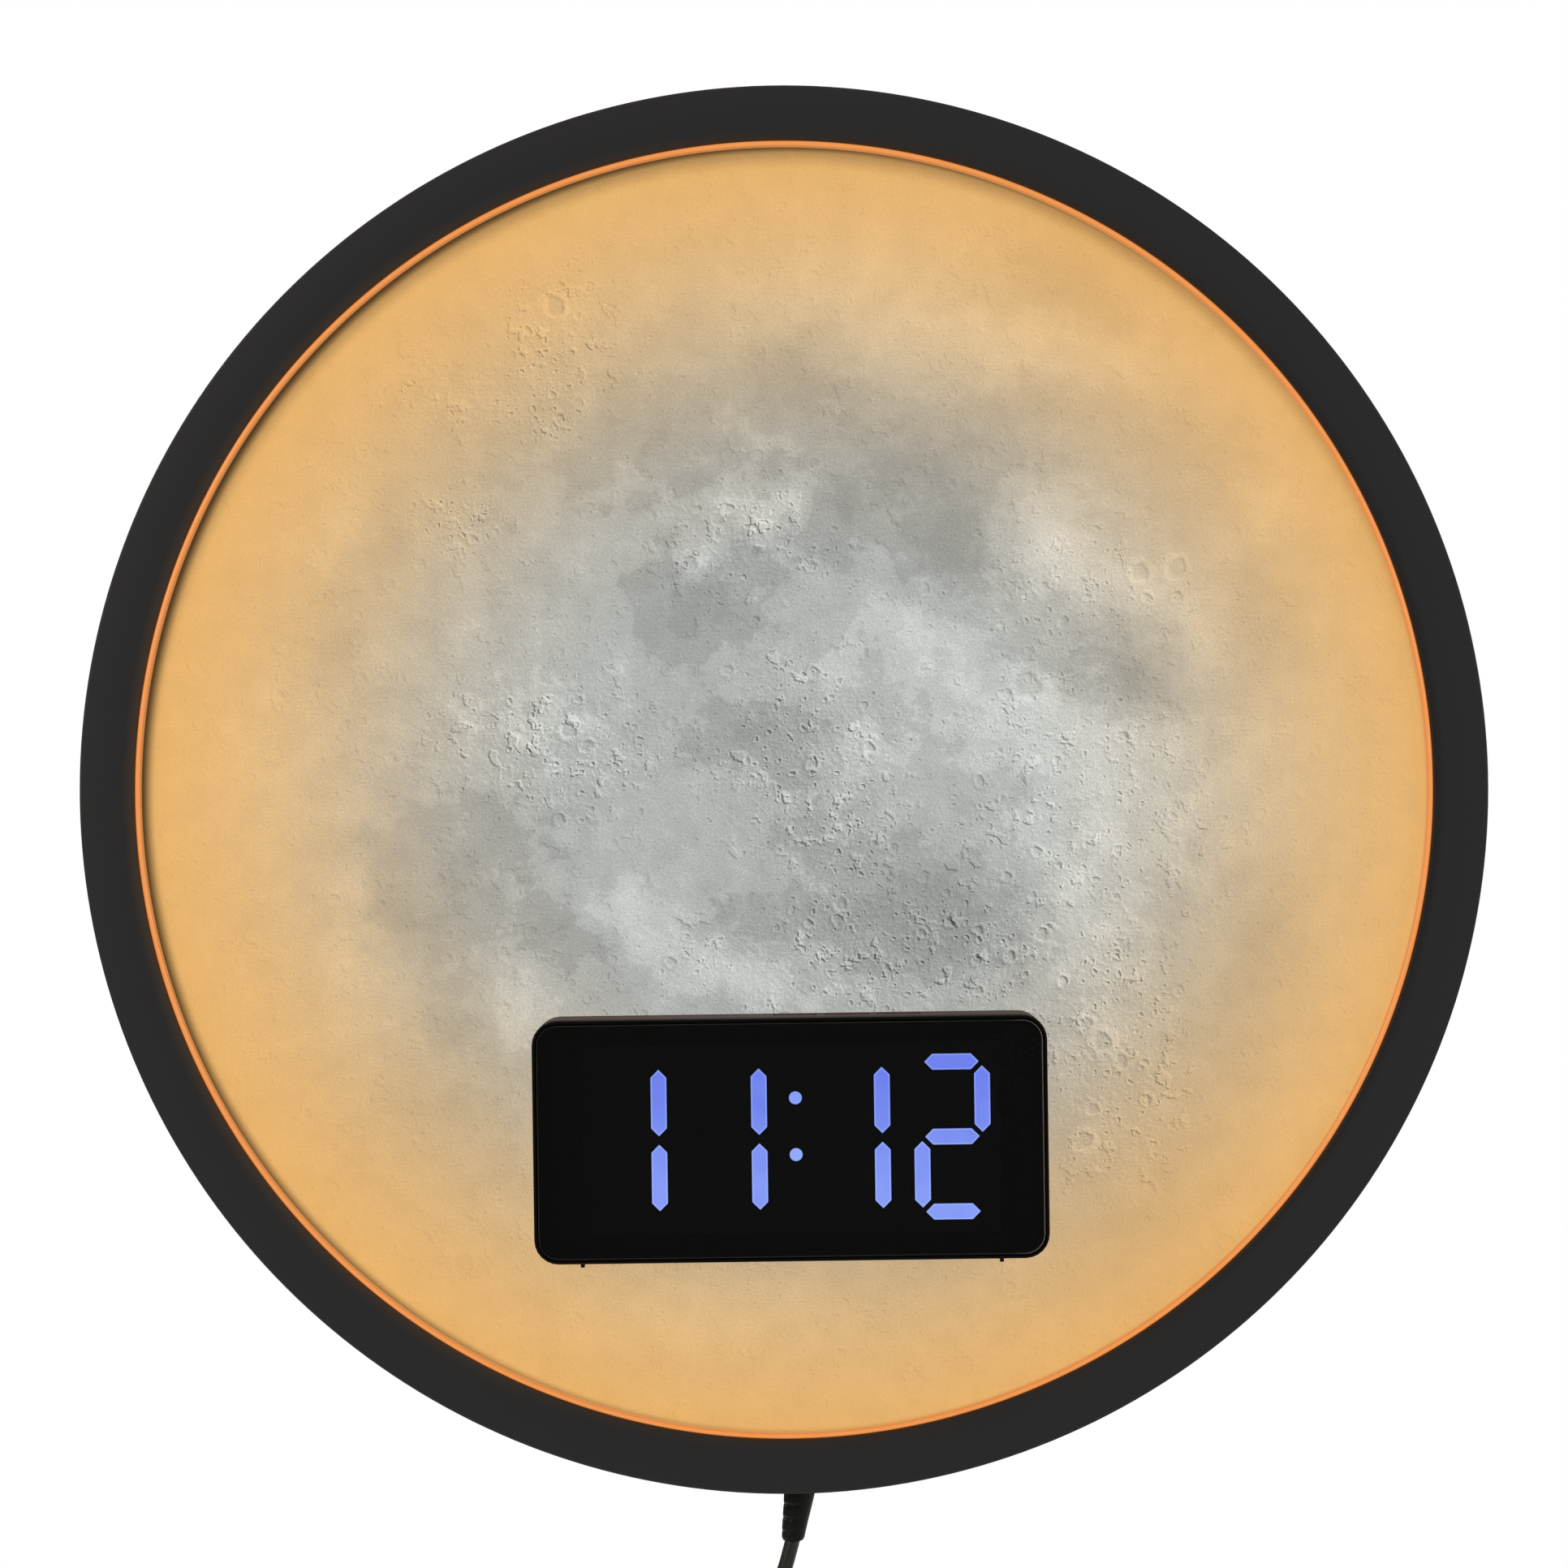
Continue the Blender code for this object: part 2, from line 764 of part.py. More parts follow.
def make_led_strip():
    strip = turned(
        "led_strip", strip_white,
        [
            (strip_inner_radius, strip_y + strip_width / 2),
            (strip_outer_radius, strip_y + strip_width / 2),
            (strip_outer_radius, strip_y - strip_width / 2),
            (strip_inner_radius, strip_y - strip_width / 2),
        ],
        inner_steps,
    )
    chips = bmesh.new()
    for index in range(strip_chip_count):
        angle = -90.0 + (index + 0.5) * 360.0 / strip_chip_count
        chip = bmesh.new()
        add_block(
            chip,
            (strip_inner_radius - strip_chip_height, -strip_chip_width / 2, -strip_chip_length / 2),
            (strip_inner_radius + strip_thickness / 3, strip_chip_width / 2, strip_chip_length / 2),
        )
        turn = Matrix.Rotation(-math.radians(angle), 3, "Y")
        bmesh.ops.rotate(chip, verts=chip.verts, matrix=turn)
        bmesh.ops.translate(chip, verts=chip.verts, vec=(0.0, strip_y, 0.0))
        chip_mesh = bpy.data.meshes.new("strip_chip")
        chip.to_mesh(chip_mesh)
        chip.free()
        chips.from_mesh(chip_mesh)
        bpy.data.meshes.remove(chip_mesh)
    join(strip, tool("strip_chips", chips))
    cut(strip, cord_notch("strip_cord_gap"))


def make_reflector_sheet():
    sheet = turned(
        "reflector_sheet", white_film,
        [
            (0.0, reflector_back_y), (reflector_radius, reflector_back_y),
            (reflector_radius, reflector_front_y), (0.0, reflector_front_y),
        ],
        inner_steps,
    )
    openings = bmesh.new()
    half_width = plate_width / 2 + pocket_wall + reflector_margin
    half_height = plate_height / 2 + pocket_wall + reflector_margin
    add_block(
        openings, (-half_width, reflector_front_y - through, hanger_height - half_height),
        (half_width, reflector_back_y + through, hanger_height + half_height), plate_corner,
    )
    for x in driver_post_places:
        add_rod(
            openings, (x, reflector_front_y - through, driver_z),
            (x, reflector_back_y + through, driver_z), driver_post_radius + reflector_margin,
            post_sides,
        )
    cut(sheet, tool("reflector_openings", openings))


# Back cover, with the hanger pocket and the driver board's posts moulded in
driver_post_places = [driver_x - driver_post_spacing / 2, driver_x + driver_post_spacing / 2]
hanger_screw_places = [
    (0.0, hanger_height - plate_screw_spacing / 2), (0.0, hanger_height + plate_screw_spacing / 2),
]


def make_back_cover():
    rim = frame_radius - cover_inset
    lip_outer = wall_inner_radius - clearance
    lip_inner = lip_outer - cover_lip_wall
    cover = turned(
        "back_cover", black_plastic,
        [
            (0.0, 0.0), (rim - frame_edge_round, 0.0), (rim, -frame_edge_round), (rim, cover_inner_y),
            (lip_outer, cover_inner_y), (lip_outer, cover_lip_end_y), (lip_inner, cover_lip_end_y),
            (lip_inner, cover_inner_y), (0.0, cover_inner_y),
        ],
        cover_steps,
    )
    seats = bmesh.new()
    for x, z in boss_places:
        add_rod(
            seats, (x, cover_inner_y + cover_lip_seat, z), (x, cover_lip_end_y - through, z),
            boss_radius + clearance, post_sides,
        )
    cut(cover, tool("cover_boss_seats", seats))
    pad = bmesh.new()
    add_block(
        pad,
        (-plate_width / 2 - pocket_wall, cover_inner_y - plate_pad_thickness,
         hanger_height - plate_height / 2 - pocket_wall),
        (plate_width / 2 + pocket_wall, cover_inner_y + root,
         hanger_height + plate_height / 2 + pocket_wall),
        plate_corner,
    )
    join(cover, tool("hanger_pad", pad))
    box = bmesh.new()
    add_block(
        box,
        (-pocket_width / 2 - pocket_wall, pocket_front_y - pocket_wall,
         hanger_height - pocket_height / 2 - pocket_wall),
        (pocket_width / 2 + pocket_wall, cover_inner_y,
         hanger_height + pocket_height / 2 + pocket_wall),
    )
    join(cover, tool("hanger_box", box))
    bosses = bmesh.new()
    for x, z in hanger_screw_places:
        add_rod(
            bosses, (x, cover_inner_y, z), (x, plate_hole_end_y - plate_boss_end_wall, z),
            screw_shank_radius + pocket_wall, post_sides,
        )
    for x in driver_post_places:
        add_rod(
            bosses, (x, cover_inner_y + root, driver_z),
            (x, cover_inner_y - driver_post_height, driver_z), driver_post_radius, post_sides,
        )
    join(cover, tool("cover_posts", bosses))
    recess = bmesh.new()
    add_block(
        recess,
        (-plate_width / 2 - clearance, plate_front_y - clearance,
         hanger_height - plate_height / 2 - clearance),
        (plate_width / 2 + clearance, through, hanger_height + plate_height / 2 + clearance),
        plate_corner + clearance,
    )
    cut(cover, tool("hanger_recess", recess))
    pocket = bmesh.new()
    add_block(
        pocket, (-pocket_width / 2, pocket_front_y, hanger_height - pocket_height / 2),
        (pocket_width / 2, -plate_thickness, hanger_height + pocket_height / 2),
    )
    cut(cover, tool("hanger_pocket", pocket))
    holes = bmesh.new()
    for x, z in hanger_screw_places:
        add_rod(
            holes, (x, 0.0, z), (x, plate_hole_end_y, z), screw_shank_radius + clearance, post_sides,
        )
    for x in driver_post_places:
        add_rod(
            holes, (x, cover_inner_y - root, driver_z),
            (x, cover_inner_y - driver_post_height - through, driver_z),
            screw_shank_radius + clearance, post_sides,
        )
    cut(cover, tool("cover_pilot_holes", holes))
    drill_for_screws(
        cover, "cover_screw_holes", boss_places, 0.0, cover_inner_y - through,
        screw_head_radius, screw_shank_radius,
    )


def make_back_screws():
    for index, (x, z) in enumerate(boss_places, start=1):
        countersunk_screw(
            f"back_screw_{index}", (x, 0.0, z), screw_head_radius, screw_shank_radius, screw_length,
        )


def make_hanger_plate():
    shape = bmesh.new()
    add_plate(shape, plate_width, plate_height, -plate_setback, plate_front_y, plate_corner)
    plate = solid("hanger_plate", zinc_steel, shape, place=(0.0, 0.0, hanger_height))
    round_hole = bmesh.new()
    entry_z = hanger_height - keyhole_slot_length / 2
    cut_front_y = plate_front_y - through
    add_rod(
        round_hole, (0.0, through, entry_z), (0.0, cut_front_y, entry_z), keyhole_radius, entry_sides,
    )
    cut(plate, tool("keyhole_round", round_hole))
    slot = bmesh.new()
    add_block(
        slot, (-keyhole_slot_radius, cut_front_y, entry_z),
        (keyhole_slot_radius, through, entry_z + keyhole_slot_length + keyhole_slot_radius),
        keyhole_slot_corner,
    )
    cut(plate, tool("keyhole_slot", slot))
    drill_for_screws(
        plate, "plate_screw_holes", hanger_screw_places, -plate_setback,
        cut_front_y, screw_head_radius, screw_shank_radius,
    )
    for index, (x, z) in enumerate(hanger_screw_places, start=1):
        countersunk_screw(
            f"hanger_screw_{index}", (x, -plate_setback, z), screw_head_radius, screw_shank_radius,
            plate_screw_length,
        )


# Driver board
def make_driver_board():
    shape = bmesh.new()
    add_block(
        shape, (driver_x - driver_width / 2, driver_front_y, driver_bottom),
        (driver_x + driver_width / 2, driver_back_y, driver_top),
    )
    board = solid("driver_board", board_green, shape)
    fitted = bmesh.new()
    sockets = [
        (driver_x, driver_bottom), (strip_socket_x, driver_bottom),
        (module_socket_x, driver_top - connector_height),
    ]
    for x, low_z in sockets:
        add_block(
            fitted, (x - connector_width / 2, driver_front_y - connector_depth, low_z),
            (x + connector_width / 2, driver_front_y + root, low_z + connector_height),
        )
    choke_radius = connector_height / 2
    choke_x = driver_x + choke_offset
    choke_z = driver_top - choke_edge_gap - choke_radius
    add_rod(
        fitted, (choke_x, driver_front_y + root, choke_z),
        (choke_x, driver_front_y - choke_radius, choke_z), choke_radius, post_sides,
    )
    join(board, tool("driver_sockets", fitted))
    holes = bmesh.new()
    for x in driver_post_places:
        add_rod(
            holes, (x, driver_back_y + through, driver_z), (x, driver_front_y - through, driver_z),
            screw_shank_radius + clearance, post_sides,
        )
    cut(board, tool("driver_board_holes", holes))


def make_driver_screws():
    seat_y = driver_front_y - clearance
    head_y = seat_y - driver_screw_head_height
    end_y = seat_y + driver_screw_length
    for index, x in enumerate(driver_post_places, start=1):
        turned(
            f"driver_screw_{index}", zinc_steel,
            [
                (0.0, head_y), (screw_head_radius - driver_screw_crown, head_y),
                (screw_head_radius, (seat_y + head_y) / 2), (screw_head_radius, seat_y),
                (screw_shank_radius, seat_y), (screw_shank_radius, end_y), (0.0, end_y),
            ],
            screw_sides, place=(x, 0.0, driver_z),
        )


def stepped(place, steps):
    """The points that lie a list of steps away from one place."""
    return [Vector(place) + Vector(step) for step in steps]


def make_strip_lead():
    """The lead from the strip's cut end to its socket on the driver board."""
    strip_end = (relief_entry_x - strip_gap / 2, strip_y, -strip_inner_radius)
    socket = (strip_socket_x, driver_lead_y, driver_bottom)
    route = stepped(strip_end, strip_lead_start) + stepped(socket, strip_lead_end)
    tube(
        "strip_lead", white_plastic, smooth_route(route, strip_lead_spacing), strip_lead_radius,
    )


# Clock module: everything in it hangs on one empty, which carries its slight turn
module_seat = bpy.data.objects.new("module_seat", None)
parts.objects.link(module_seat)
module_seat.location = (module_x, module_y, module_z)
module_seat.rotation_euler = (0.0, -math.radians(module_tilt), 0.0)


def key_places():
    first = key_row_x - key_pitch * (len(key_names) - 1) / 2
    return [first + key_pitch * index for index in range(len(key_names))]


def make_front_shell():
    shape = bmesh.new()
    add_plate(shape, module_width, module_height, 0.0, module_front, module_corner, 6)
    round_edges(shape, module_front, module_edge_round)
    shell = solid("front_shell", black_plastic, shape, module_seat)

    cavity = bmesh.new()
    add_plate(cavity, cavity_width, cavity_height, through, ledge_back, cavity_corner)
    cut(shell, tool("shell_cavity", cavity, module_seat))
    window = bmesh.new()
    add_plate(window, window_width, window_height, ledge_back + through, ledge_front - through)
    cut(shell, tool("shell_window", window, module_seat))
    recess = bmesh.new()
    add_plate(
        recess, module_width - 2 * shell_rim, module_height - 2 * shell_rim, ledge_front,
        module_front - through, module_corner - shell_rim, 6,
    )
    cut(shell, tool("lens_recess", recess, module_seat))

    bosses = bmesh.new()
    holes = bmesh.new()
    boss_end = rear_plate_front - clearance
    for x, z in module_screw_places:
        add_rod(bosses, (x, ledge_back - root, z), (x, boss_end, z), module_boss_radius, post_sides)
        add_rod(
            holes, (x, boss_end + through, z), (x, -module_screw_length - through, z),
            module_screw_shank_radius + clearance, post_sides,
        )
    join(shell, tool("shell_bosses", bosses, module_seat))
    cut(shell, tool("shell_boss_holes", holes, module_seat))

    slots = bmesh.new()
    half_length = key_length / 2 + clearance
    half_width = key_width / 2 + clearance
    for x in key_places():
        add_block(
            slots, (x - half_length, key_y - half_width, cavity_top - through),
            (x + half_length, key_y + half_width, module_height / 2 + through),
        )
    cut(shell, tool("key_slots", slots, module_seat))

    pips = bmesh.new()
    pip_y = module_front + pip_setback
    for x in (-pip_spacing / 2, pip_spacing / 2):
        low = -module_height / 2
        add_rod(
            pips, (x, pip_y, low + shell_wall / 2), (x, pip_y, low - pip_height), pip_radius,
            screw_sides, pip_tip_radius,
        )
    join(shell, tool("shell_pips", pips, module_seat))


def make_lens_panel():
    shape = bmesh.new()
    margin = shell_rim + clearance
    add_plate(
        shape, module_width - 2 * margin, module_height - 2 * margin, lens_back, module_front,
        module_corner - margin, 6,
    )
    solid("lens_panel", gloss_black, shape, module_seat)


# Segments of the four digits and the colon
def digit_centres():
    half = colon_extra_gap / 2
    return [
        -1.5 * digit_pitch - half, -0.5 * digit_pitch - half,
        0.5 * digit_pitch + half, 1.5 * digit_pitch + half,
    ]


def segment_places():
    """The centre of each segment, and whether it stands upright."""
    places = []
    for centre in digit_centres():
        for row in (-1, 0, 1):
            places.append((centre, row * row_separation, False))
        for side in (-1, 1):
            for row in (-1, 1):
                x = centre + side * column_separation / 2
                places.append((x, row * row_separation / 2, True))
    return places


def add_segment(shape, x, z, upright, back, front, margin=0.0, back_share=1.0):
    """A long hexagonal prism with pointed ends, narrower at the back by a share."""
    length = (upright_length if upright else level_length) + 2 * margin
    width = segment_width + 2 * margin
    made = bmesh.ops.create_cone(
        shape, cap_ends=True, segments=6, radius1=1.0, radius2=1.0, depth=1.0,
    )
    for vert in made["verts"]:
        at_back = vert.co.z > 0
        share = back_share if at_back else 1.0
        side = 0.0 if abs(vert.co.x) < 0.1 else math.copysign(width / 2, vert.co.x)
        tip = length / 2 if side == 0.0 else length / 2 - width / 2
        along = math.copysign(tip, vert.co.y) * share
        across = side * share
        depth = back if at_back else front
        if upright:
            vert.co = (x + across, depth, z + along)
        else:
            vert.co = (x + along, depth, z + across)


def add_display_holes(shape, back, front, margin, back_share):
    """Every segment's hole, and the colon's two round ones, through one layer."""
    for x, z, upright in segment_places():
        add_segment(shape, x, z, upright, back, front, margin, back_share)
    for side in (-1, 1):
        z = colon_rise + side * colon_dot_separation / 2
        radius = colon_dot_radius + margin
        add_rod(
            shape, (colon_x, front, z), (colon_x, back, z), radius, post_sides, radius * back_share,
        )


def make_mask_film():
    shape = bmesh.new()
    add_plate(shape, film_width, film_height, mask_back, mask_front)
    mask = solid("mask_film", black_film, shape, module_seat)
    windows = bmesh.new()
    add_display_holes(windows, mask_back + through, mask_front - through, 0.0, 1.0)
    cut(mask, tool("mask_windows", windows, module_seat))


def make_diffuser_film():
    shape = bmesh.new()
    add_plate(shape, film_width, film_height, diffuser_back, diffuser_front)
    solid("diffuser_film", white_film, shape, module_seat)


def make_segment_block():
    shape = bmesh.new()
    add_plate(shape, film_width, block_height, block_back, block_front)
    block = solid("segment_block", white_plastic, shape, module_seat)
    wells = bmesh.new()
    add_display_holes(wells, block_back + root, block_front - root, well_margin, well_taper)
    cut(block, tool("light_wells", wells, module_seat))


def make_main_board():
    shape = bmesh.new()
    add_plate(shape, film_width, film_height, board_back, board_front)
    board = solid("main_board", board_green, shape, module_seat)
    chips = bmesh.new()
    chip_back = board_front + root
    chip_front = board_front - chip_height
    for x, z, upright in segment_places():
        half_x = (chip_width if upright else chip_length) / 2
        half_z = (chip_length if upright else chip_width) / 2
        add_block(chips, (x - half_x, chip_front, z - half_z), (x + half_x, chip_back, z + half_z))
    half = chip_width / 2
    for side in (-1, 1):
        z = colon_rise + side * colon_dot_separation / 2
        add_block(
            chips, (colon_x - half, chip_front, z - half), (colon_x + half, chip_back, z + half),
        )
    join(board, tool("board_chips", chips, module_seat))


# Keys, plungers and switches
def make_keys():
    for x, word in zip(key_places(), key_names):
        key_top = module_height / 2 + key_proud
        cap = bmesh.new()
        add_block(
            cap, (-key_length / 2, -key_width / 2, key_flange_bottom),
            (key_length / 2, key_width / 2, key_top), key_corner, 2, along=2,
        )
        key = solid(f"key_{word}", black_plastic, cap, module_seat, (x, key_y, 0.0))
        ears = bmesh.new()
        reach = key_length / 2 + clearance + key_ear
        add_block(
            ears, (x - reach, key_y - key_width / 2 + clearance, key_flange_bottom),
            (x + reach, key_y + key_width / 2 - clearance, key_flange_top),
        )
        join(key, tool(f"key_ears_{word}", ears, module_seat))
        stem = bmesh.new()
        add_rod(
            stem, (x, key_y, key_flange_bottom + root), (x, key_y, key_stem_bottom),
            key_stem_radius, post_sides,
        )
        join(key, tool(f"key_stem_{word}", stem, module_seat))

        pin = bmesh.new()
        add_rod(
            pin, (0.0, 0.0, plunger_bottom), (0.0, 0.0, plunger_top), plunger_radius, post_sides,
        )
        solid(f"plunger_{word}", white_plastic, pin, module_seat, (x, key_y, 0.0))

        body = bmesh.new()
        add_block(
            body, (-switch_width / 2, -switch_depth / 2, switch_top - switch_height),
            (switch_width / 2, switch_depth / 2, switch_top),
        )
        switch = solid(f"switch_{word}", black_plastic, body, module_seat, (x, key_y, 0.0))
        bore = bmesh.new()
        add_rod(
            bore, (x, key_y, switch_bore_bottom), (x, key_y, switch_top + through),
            plunger_radius + clearance, post_sides,
        )
        cut(switch, tool(f"switch_bore_{word}", bore, module_seat))


# Coin cell, its holder, and the buzzer
def make_coin_cell():
    holder_inner = cell_radius + clearance
    holder_outer = holder_inner + holder_wall
    base_y = parts_front + holder_base
    cell_front = base_y + clearance
    cell_back = cell_front + cell_thickness
    turned(
        "cell_holder", black_plastic,
        [
            (0.0, parts_front), (holder_outer, parts_front),
            (holder_outer, parts_front + holder_height), (holder_inner, parts_front + holder_height),
            (holder_inner, base_y), (0.0, base_y),
        ],
        cell_steps, module_seat, (cell_x, 0.0, 0.0),
    )
    turned(
        "coin_cell", cell_steel,
        [
            (0.0, cell_front), (cell_radius - cell_edge_step, cell_front),
            (cell_radius, cell_front + cell_edge_rise), (cell_radius, cell_back), (0.0, cell_back),
        ],
        cell_steps, module_seat, (cell_x, 0.0, 0.0),
    )


def make_buzzer():
    back = parts_front + buzzer_height
    turned(
        "buzzer", black_plastic,
        [
            (0.0, parts_front), (buzzer_radius, parts_front), (buzzer_radius, back),
            (buzzer_hole_radius, back), (buzzer_hole_radius, back - buzzer_hole_depth),
            (0.0, back - buzzer_hole_depth),
        ],
        buzzer_steps, module_seat, (buzzer_x, 0.0, buzzer_z),
    )


def make_rear_plate():
    shape = bmesh.new()
    add_plate(
        shape, cavity_width - 2 * clearance, cavity_height - 2 * clearance, 0.0, rear_plate_front,
        cavity_corner - clearance,
    )
    plate = solid("rear_plate", black_plastic, shape, module_seat)
    hole = bmesh.new()
    add_rod(
        hole, (0.0, through, 0.0), (0.0, rear_plate_front - through, 0.0), wire_hole_radius, post_sides,
    )
    cut(plate, tool("rear_plate_wire_hole", hole, module_seat))
    drill_for_screws(
        plate, "rear_plate_screw_holes", module_screw_places, 0.0, rear_plate_front - through,
        module_screw_head_radius, module_screw_shank_radius, module_seat,
    )
    for index, (x, z) in enumerate(module_screw_places, start=1):
        countersunk_screw(
            f"module_screw_{index}", (x, 0.0, z), module_screw_head_radius, module_screw_shank_radius,
            module_screw_length, module_seat,
        )


def make_adhesive_pad():
    shape = bmesh.new()
    add_plate(
        shape, module_width - 2 * pad_inset, module_height - 2 * pad_inset,
        clearance + pad_thickness, clearance,
    )
    pad = solid("adhesive_pad", grey_foam, shape, module_seat)
    hole = bmesh.new()
    add_rod(
        hole, (0.0, 0.0, 0.0), (0.0, pad_thickness + through, 0.0), wire_hole_radius, post_sides,
    )
    cut(pad, tool("pad_wire_hole", hole, module_seat))


def make_module_lead():
    """The two-core lead from the main board, through the panel, down to the driver board."""
    panel_hole = (module_x, panel_back_y, module_z)
    socket = (module_socket_x, driver_lead_y, driver_top)
    route = [
        Vector((module_x, module_y + parts_front, module_z)),
        Vector((module_x, module_y, module_z)),
    ]
    route += stepped(panel_hole, module_lead_start) + stepped(socket, module_lead_end)
    tube(
        "module_lead", black_rubber, smooth_route(route, module_lead_spacing), module_lead_radius,
    )


# Cord
def make_strain_relief():
    """The ribbed relief: a flange inside the wall, a neck through it, and a tapered tail that leans."""
    flange_bottom_z = -wall_inner_radius + 2 * clearance
    step = Vector((0.0, 0.0, -clearance / 6))
    flange_top = Vector((relief_entry_x, cord_y, flange_bottom_z + relief_flange_thickness))
    flange_bottom = Vector((relief_entry_x, cord_y, flange_bottom_z))
    outside = Vector((relief_entry_x, cord_y, relief_top_z))
    points = [flange_top, flange_bottom, flange_bottom + step, outside, outside + step]
    radii = [
        relief_flange_radius, relief_flange_radius, relief_neck_radius, relief_neck_radius,
        relief_top_radius,
    ]
    start = points[-1]
    rings = 3 * relief_rib_count
    for index in range(1, rings + 1):
        share = index / rings
        eased = share * share * (3 - 2 * share)
        lean = share + (eased - share) * relief_bow
        points.append(
            Vector((
                start.x + (relief_end.x - start.x) * lean,
                cord_y,
                start.z + (relief_end.z - start.z) * share,
            ))
        )
        taper = relief_top_radius + (relief_end_radius - relief_top_radius) * share
        groove = relief_rib_depth if index % 3 == 1 else 0.0
        radii.append(taper - groove)
    radii[-1] = cord_radius + relief_tip_wall
    shares = [radius / relief_top_radius for radius in radii]
    tube("strain_relief", black_rubber, points, relief_top_radius, 3, shares)
    return flange_top


def make_inner_lead(relief_top):
    """The cord's inner end, from the relief up to its socket on the driver board."""
    socket = Vector((driver_x, driver_lead_y, driver_bottom))
    route = [
        relief_top + Vector((0.0, 0.0, clearance)),
        relief_top + Vector((0.0, 0.0, inner_lead_straight)),
        socket - Vector((0.0, 0.0, inner_lead_straight)),
        socket - Vector((0.0, 0.0, clearance)),
    ]
    tube("inner_lead", black_rubber, smooth_route(route, inner_lead_spacing), cord_radius)


def coil_points():
    """The wound length: flat spirals in and out, one layer in front of the other."""
    turns = coil_layers * coil_turns_a_layer + coil_last_turn
    count = round(turns * coil_points_a_turn)
    points = []
    for step in range(count + 1):
        turned_by = turns * step / count
        layer = min(int(turned_by / coil_turns_a_layer), coil_layers - 1)
        within = turned_by - layer * coil_turns_a_layer
        if layer % 2 == 0:
            radius = coil_outer_radius - coil_pitch * within
        else:
            radius = coil_inner_radius + coil_pitch * within
        climbed = 0.0
        for reversal in range(1, coil_layers):
            rise = (turned_by - reversal * coil_turns_a_layer) / coil_climb_turns + 0.5
            climbed += min(1.0, max(0.0, rise))
        angle = math.radians(coil_start_angle + 360.0 * turned_by)
        points.append(
            Vector((
                coil_centre_x + radius * math.cos(angle),
                coil_back_y - coil_pitch * climbed,
                coil_centre_z + radius * math.sin(angle),
            ))
        )
    return points


def segment_gap(a, b, c, d):
    """The least distance between two short straight pieces, tried at five places on each."""
    least = (a - c).length
    for i in range(5):
        first = a.lerp(b, i / 4)
        for j in range(5):
            least = min(least, (first - c.lerp(d, j / 4)).length)
    return least


def gap_to_itself(points):
    """The least gap between the surfaces of a tube's turns."""
    skip = coil_points_a_turn // 2
    least = math.inf
    for i in range(len(points) - 1):
        for j in range(i + skip, len(points) - 1):
            if (points[i] - points[j]).length < 3 * cord_diameter:
                distance = segment_gap(points[i], points[i + 1], points[j], points[j + 1])
                least = min(least, distance)
    return least - cord_diameter


def gap_between(first, second):
    """The least gap between the surfaces of two stretches of the cord."""
    least = min(
        segment_gap(a, b, c, d)
        for a, b in zip(first, first[1:])
        for c, d in zip(second, second[1:])
    )
    return least - cord_diameter


def make_cord():
    coil = coil_points()
    away = (coil[0] - coil[1]).normalized()
    upper_points = stepped(relief_end, upper_route)
    upper_points += [coil[0] + away * cord_diameter, coil[0] + away * clearance]
    upper = smooth_route(upper_points, cord_diameter)
    lower_start = coil[-1] - Vector((0.0, 0.0, clearance))
    lower = smooth_route(stepped(lower_start, lower_route), cord_diameter)
    tube("cord_upper", black_rubber, upper, cord_radius)
    tube("cord_coil", black_rubber, coil, cord_radius, 1)
    tube("cord_lower", black_rubber, lower, cord_radius)
    run = upper + coil + lower
    met = coil_points_a_turn // 4
    print("cord length, m:", round(sum((b - a).length for a, b in zip(run, run[1:])), 3))
    print("coil's least gap to itself, mm:", round(gap_to_itself(coil) * 1000, 3))
    print("upper stretch to the coil, mm:", round(gap_between(upper[:-2], coil[met:]) * 1000, 3))
    print("lower stretch to the coil, mm:", round(gap_between(lower[2:], coil[:-met]) * 1000, 3))
    return lower[-1]


def make_cord_tie():
    """A strap closed round the coil's bundle, on its right side."""
    room = cord_radius + tie_slack
    low_x = coil_centre_x + coil_inner_radius - room
    high_x = coil_centre_x + coil_outer_radius + room
    high_y = coil_back_y + room
    low_y = coil_back_y - coil_pitch * (coil_layers - 1) - room
    half = tie_width / 2
    shape = bmesh.new()
    add_block(
        shape, (low_x - tie_thickness, low_y - tie_thickness, coil_centre_z - half),
        (high_x + tie_thickness, high_y + tie_thickness, coil_centre_z + half),
        tie_corner + tie_thickness, 4, along=2,
    )
    tie = solid("cord_tie", black_rubber, shape)
    inside = bmesh.new()
    add_block(
        inside, (low_x, low_y, coil_centre_z - half - through),
        (high_x, high_y, coil_centre_z + half + through), tie_corner, 4, along=2,
    )
    cut(tie, tool("tie_inside", inside))


# USB-A plug, hanging under the coil
def add_box_about(shape, x, y, width, depth, low_z, high_z, corner=0.0):
    """Adds a box about an upright line, with its upright edges rounded."""
    add_block(
        shape, (x - width / 2, y - depth / 2, low_z), (x + width / 2, y + depth / 2, high_z),
        corner, 3, along=2,
    )


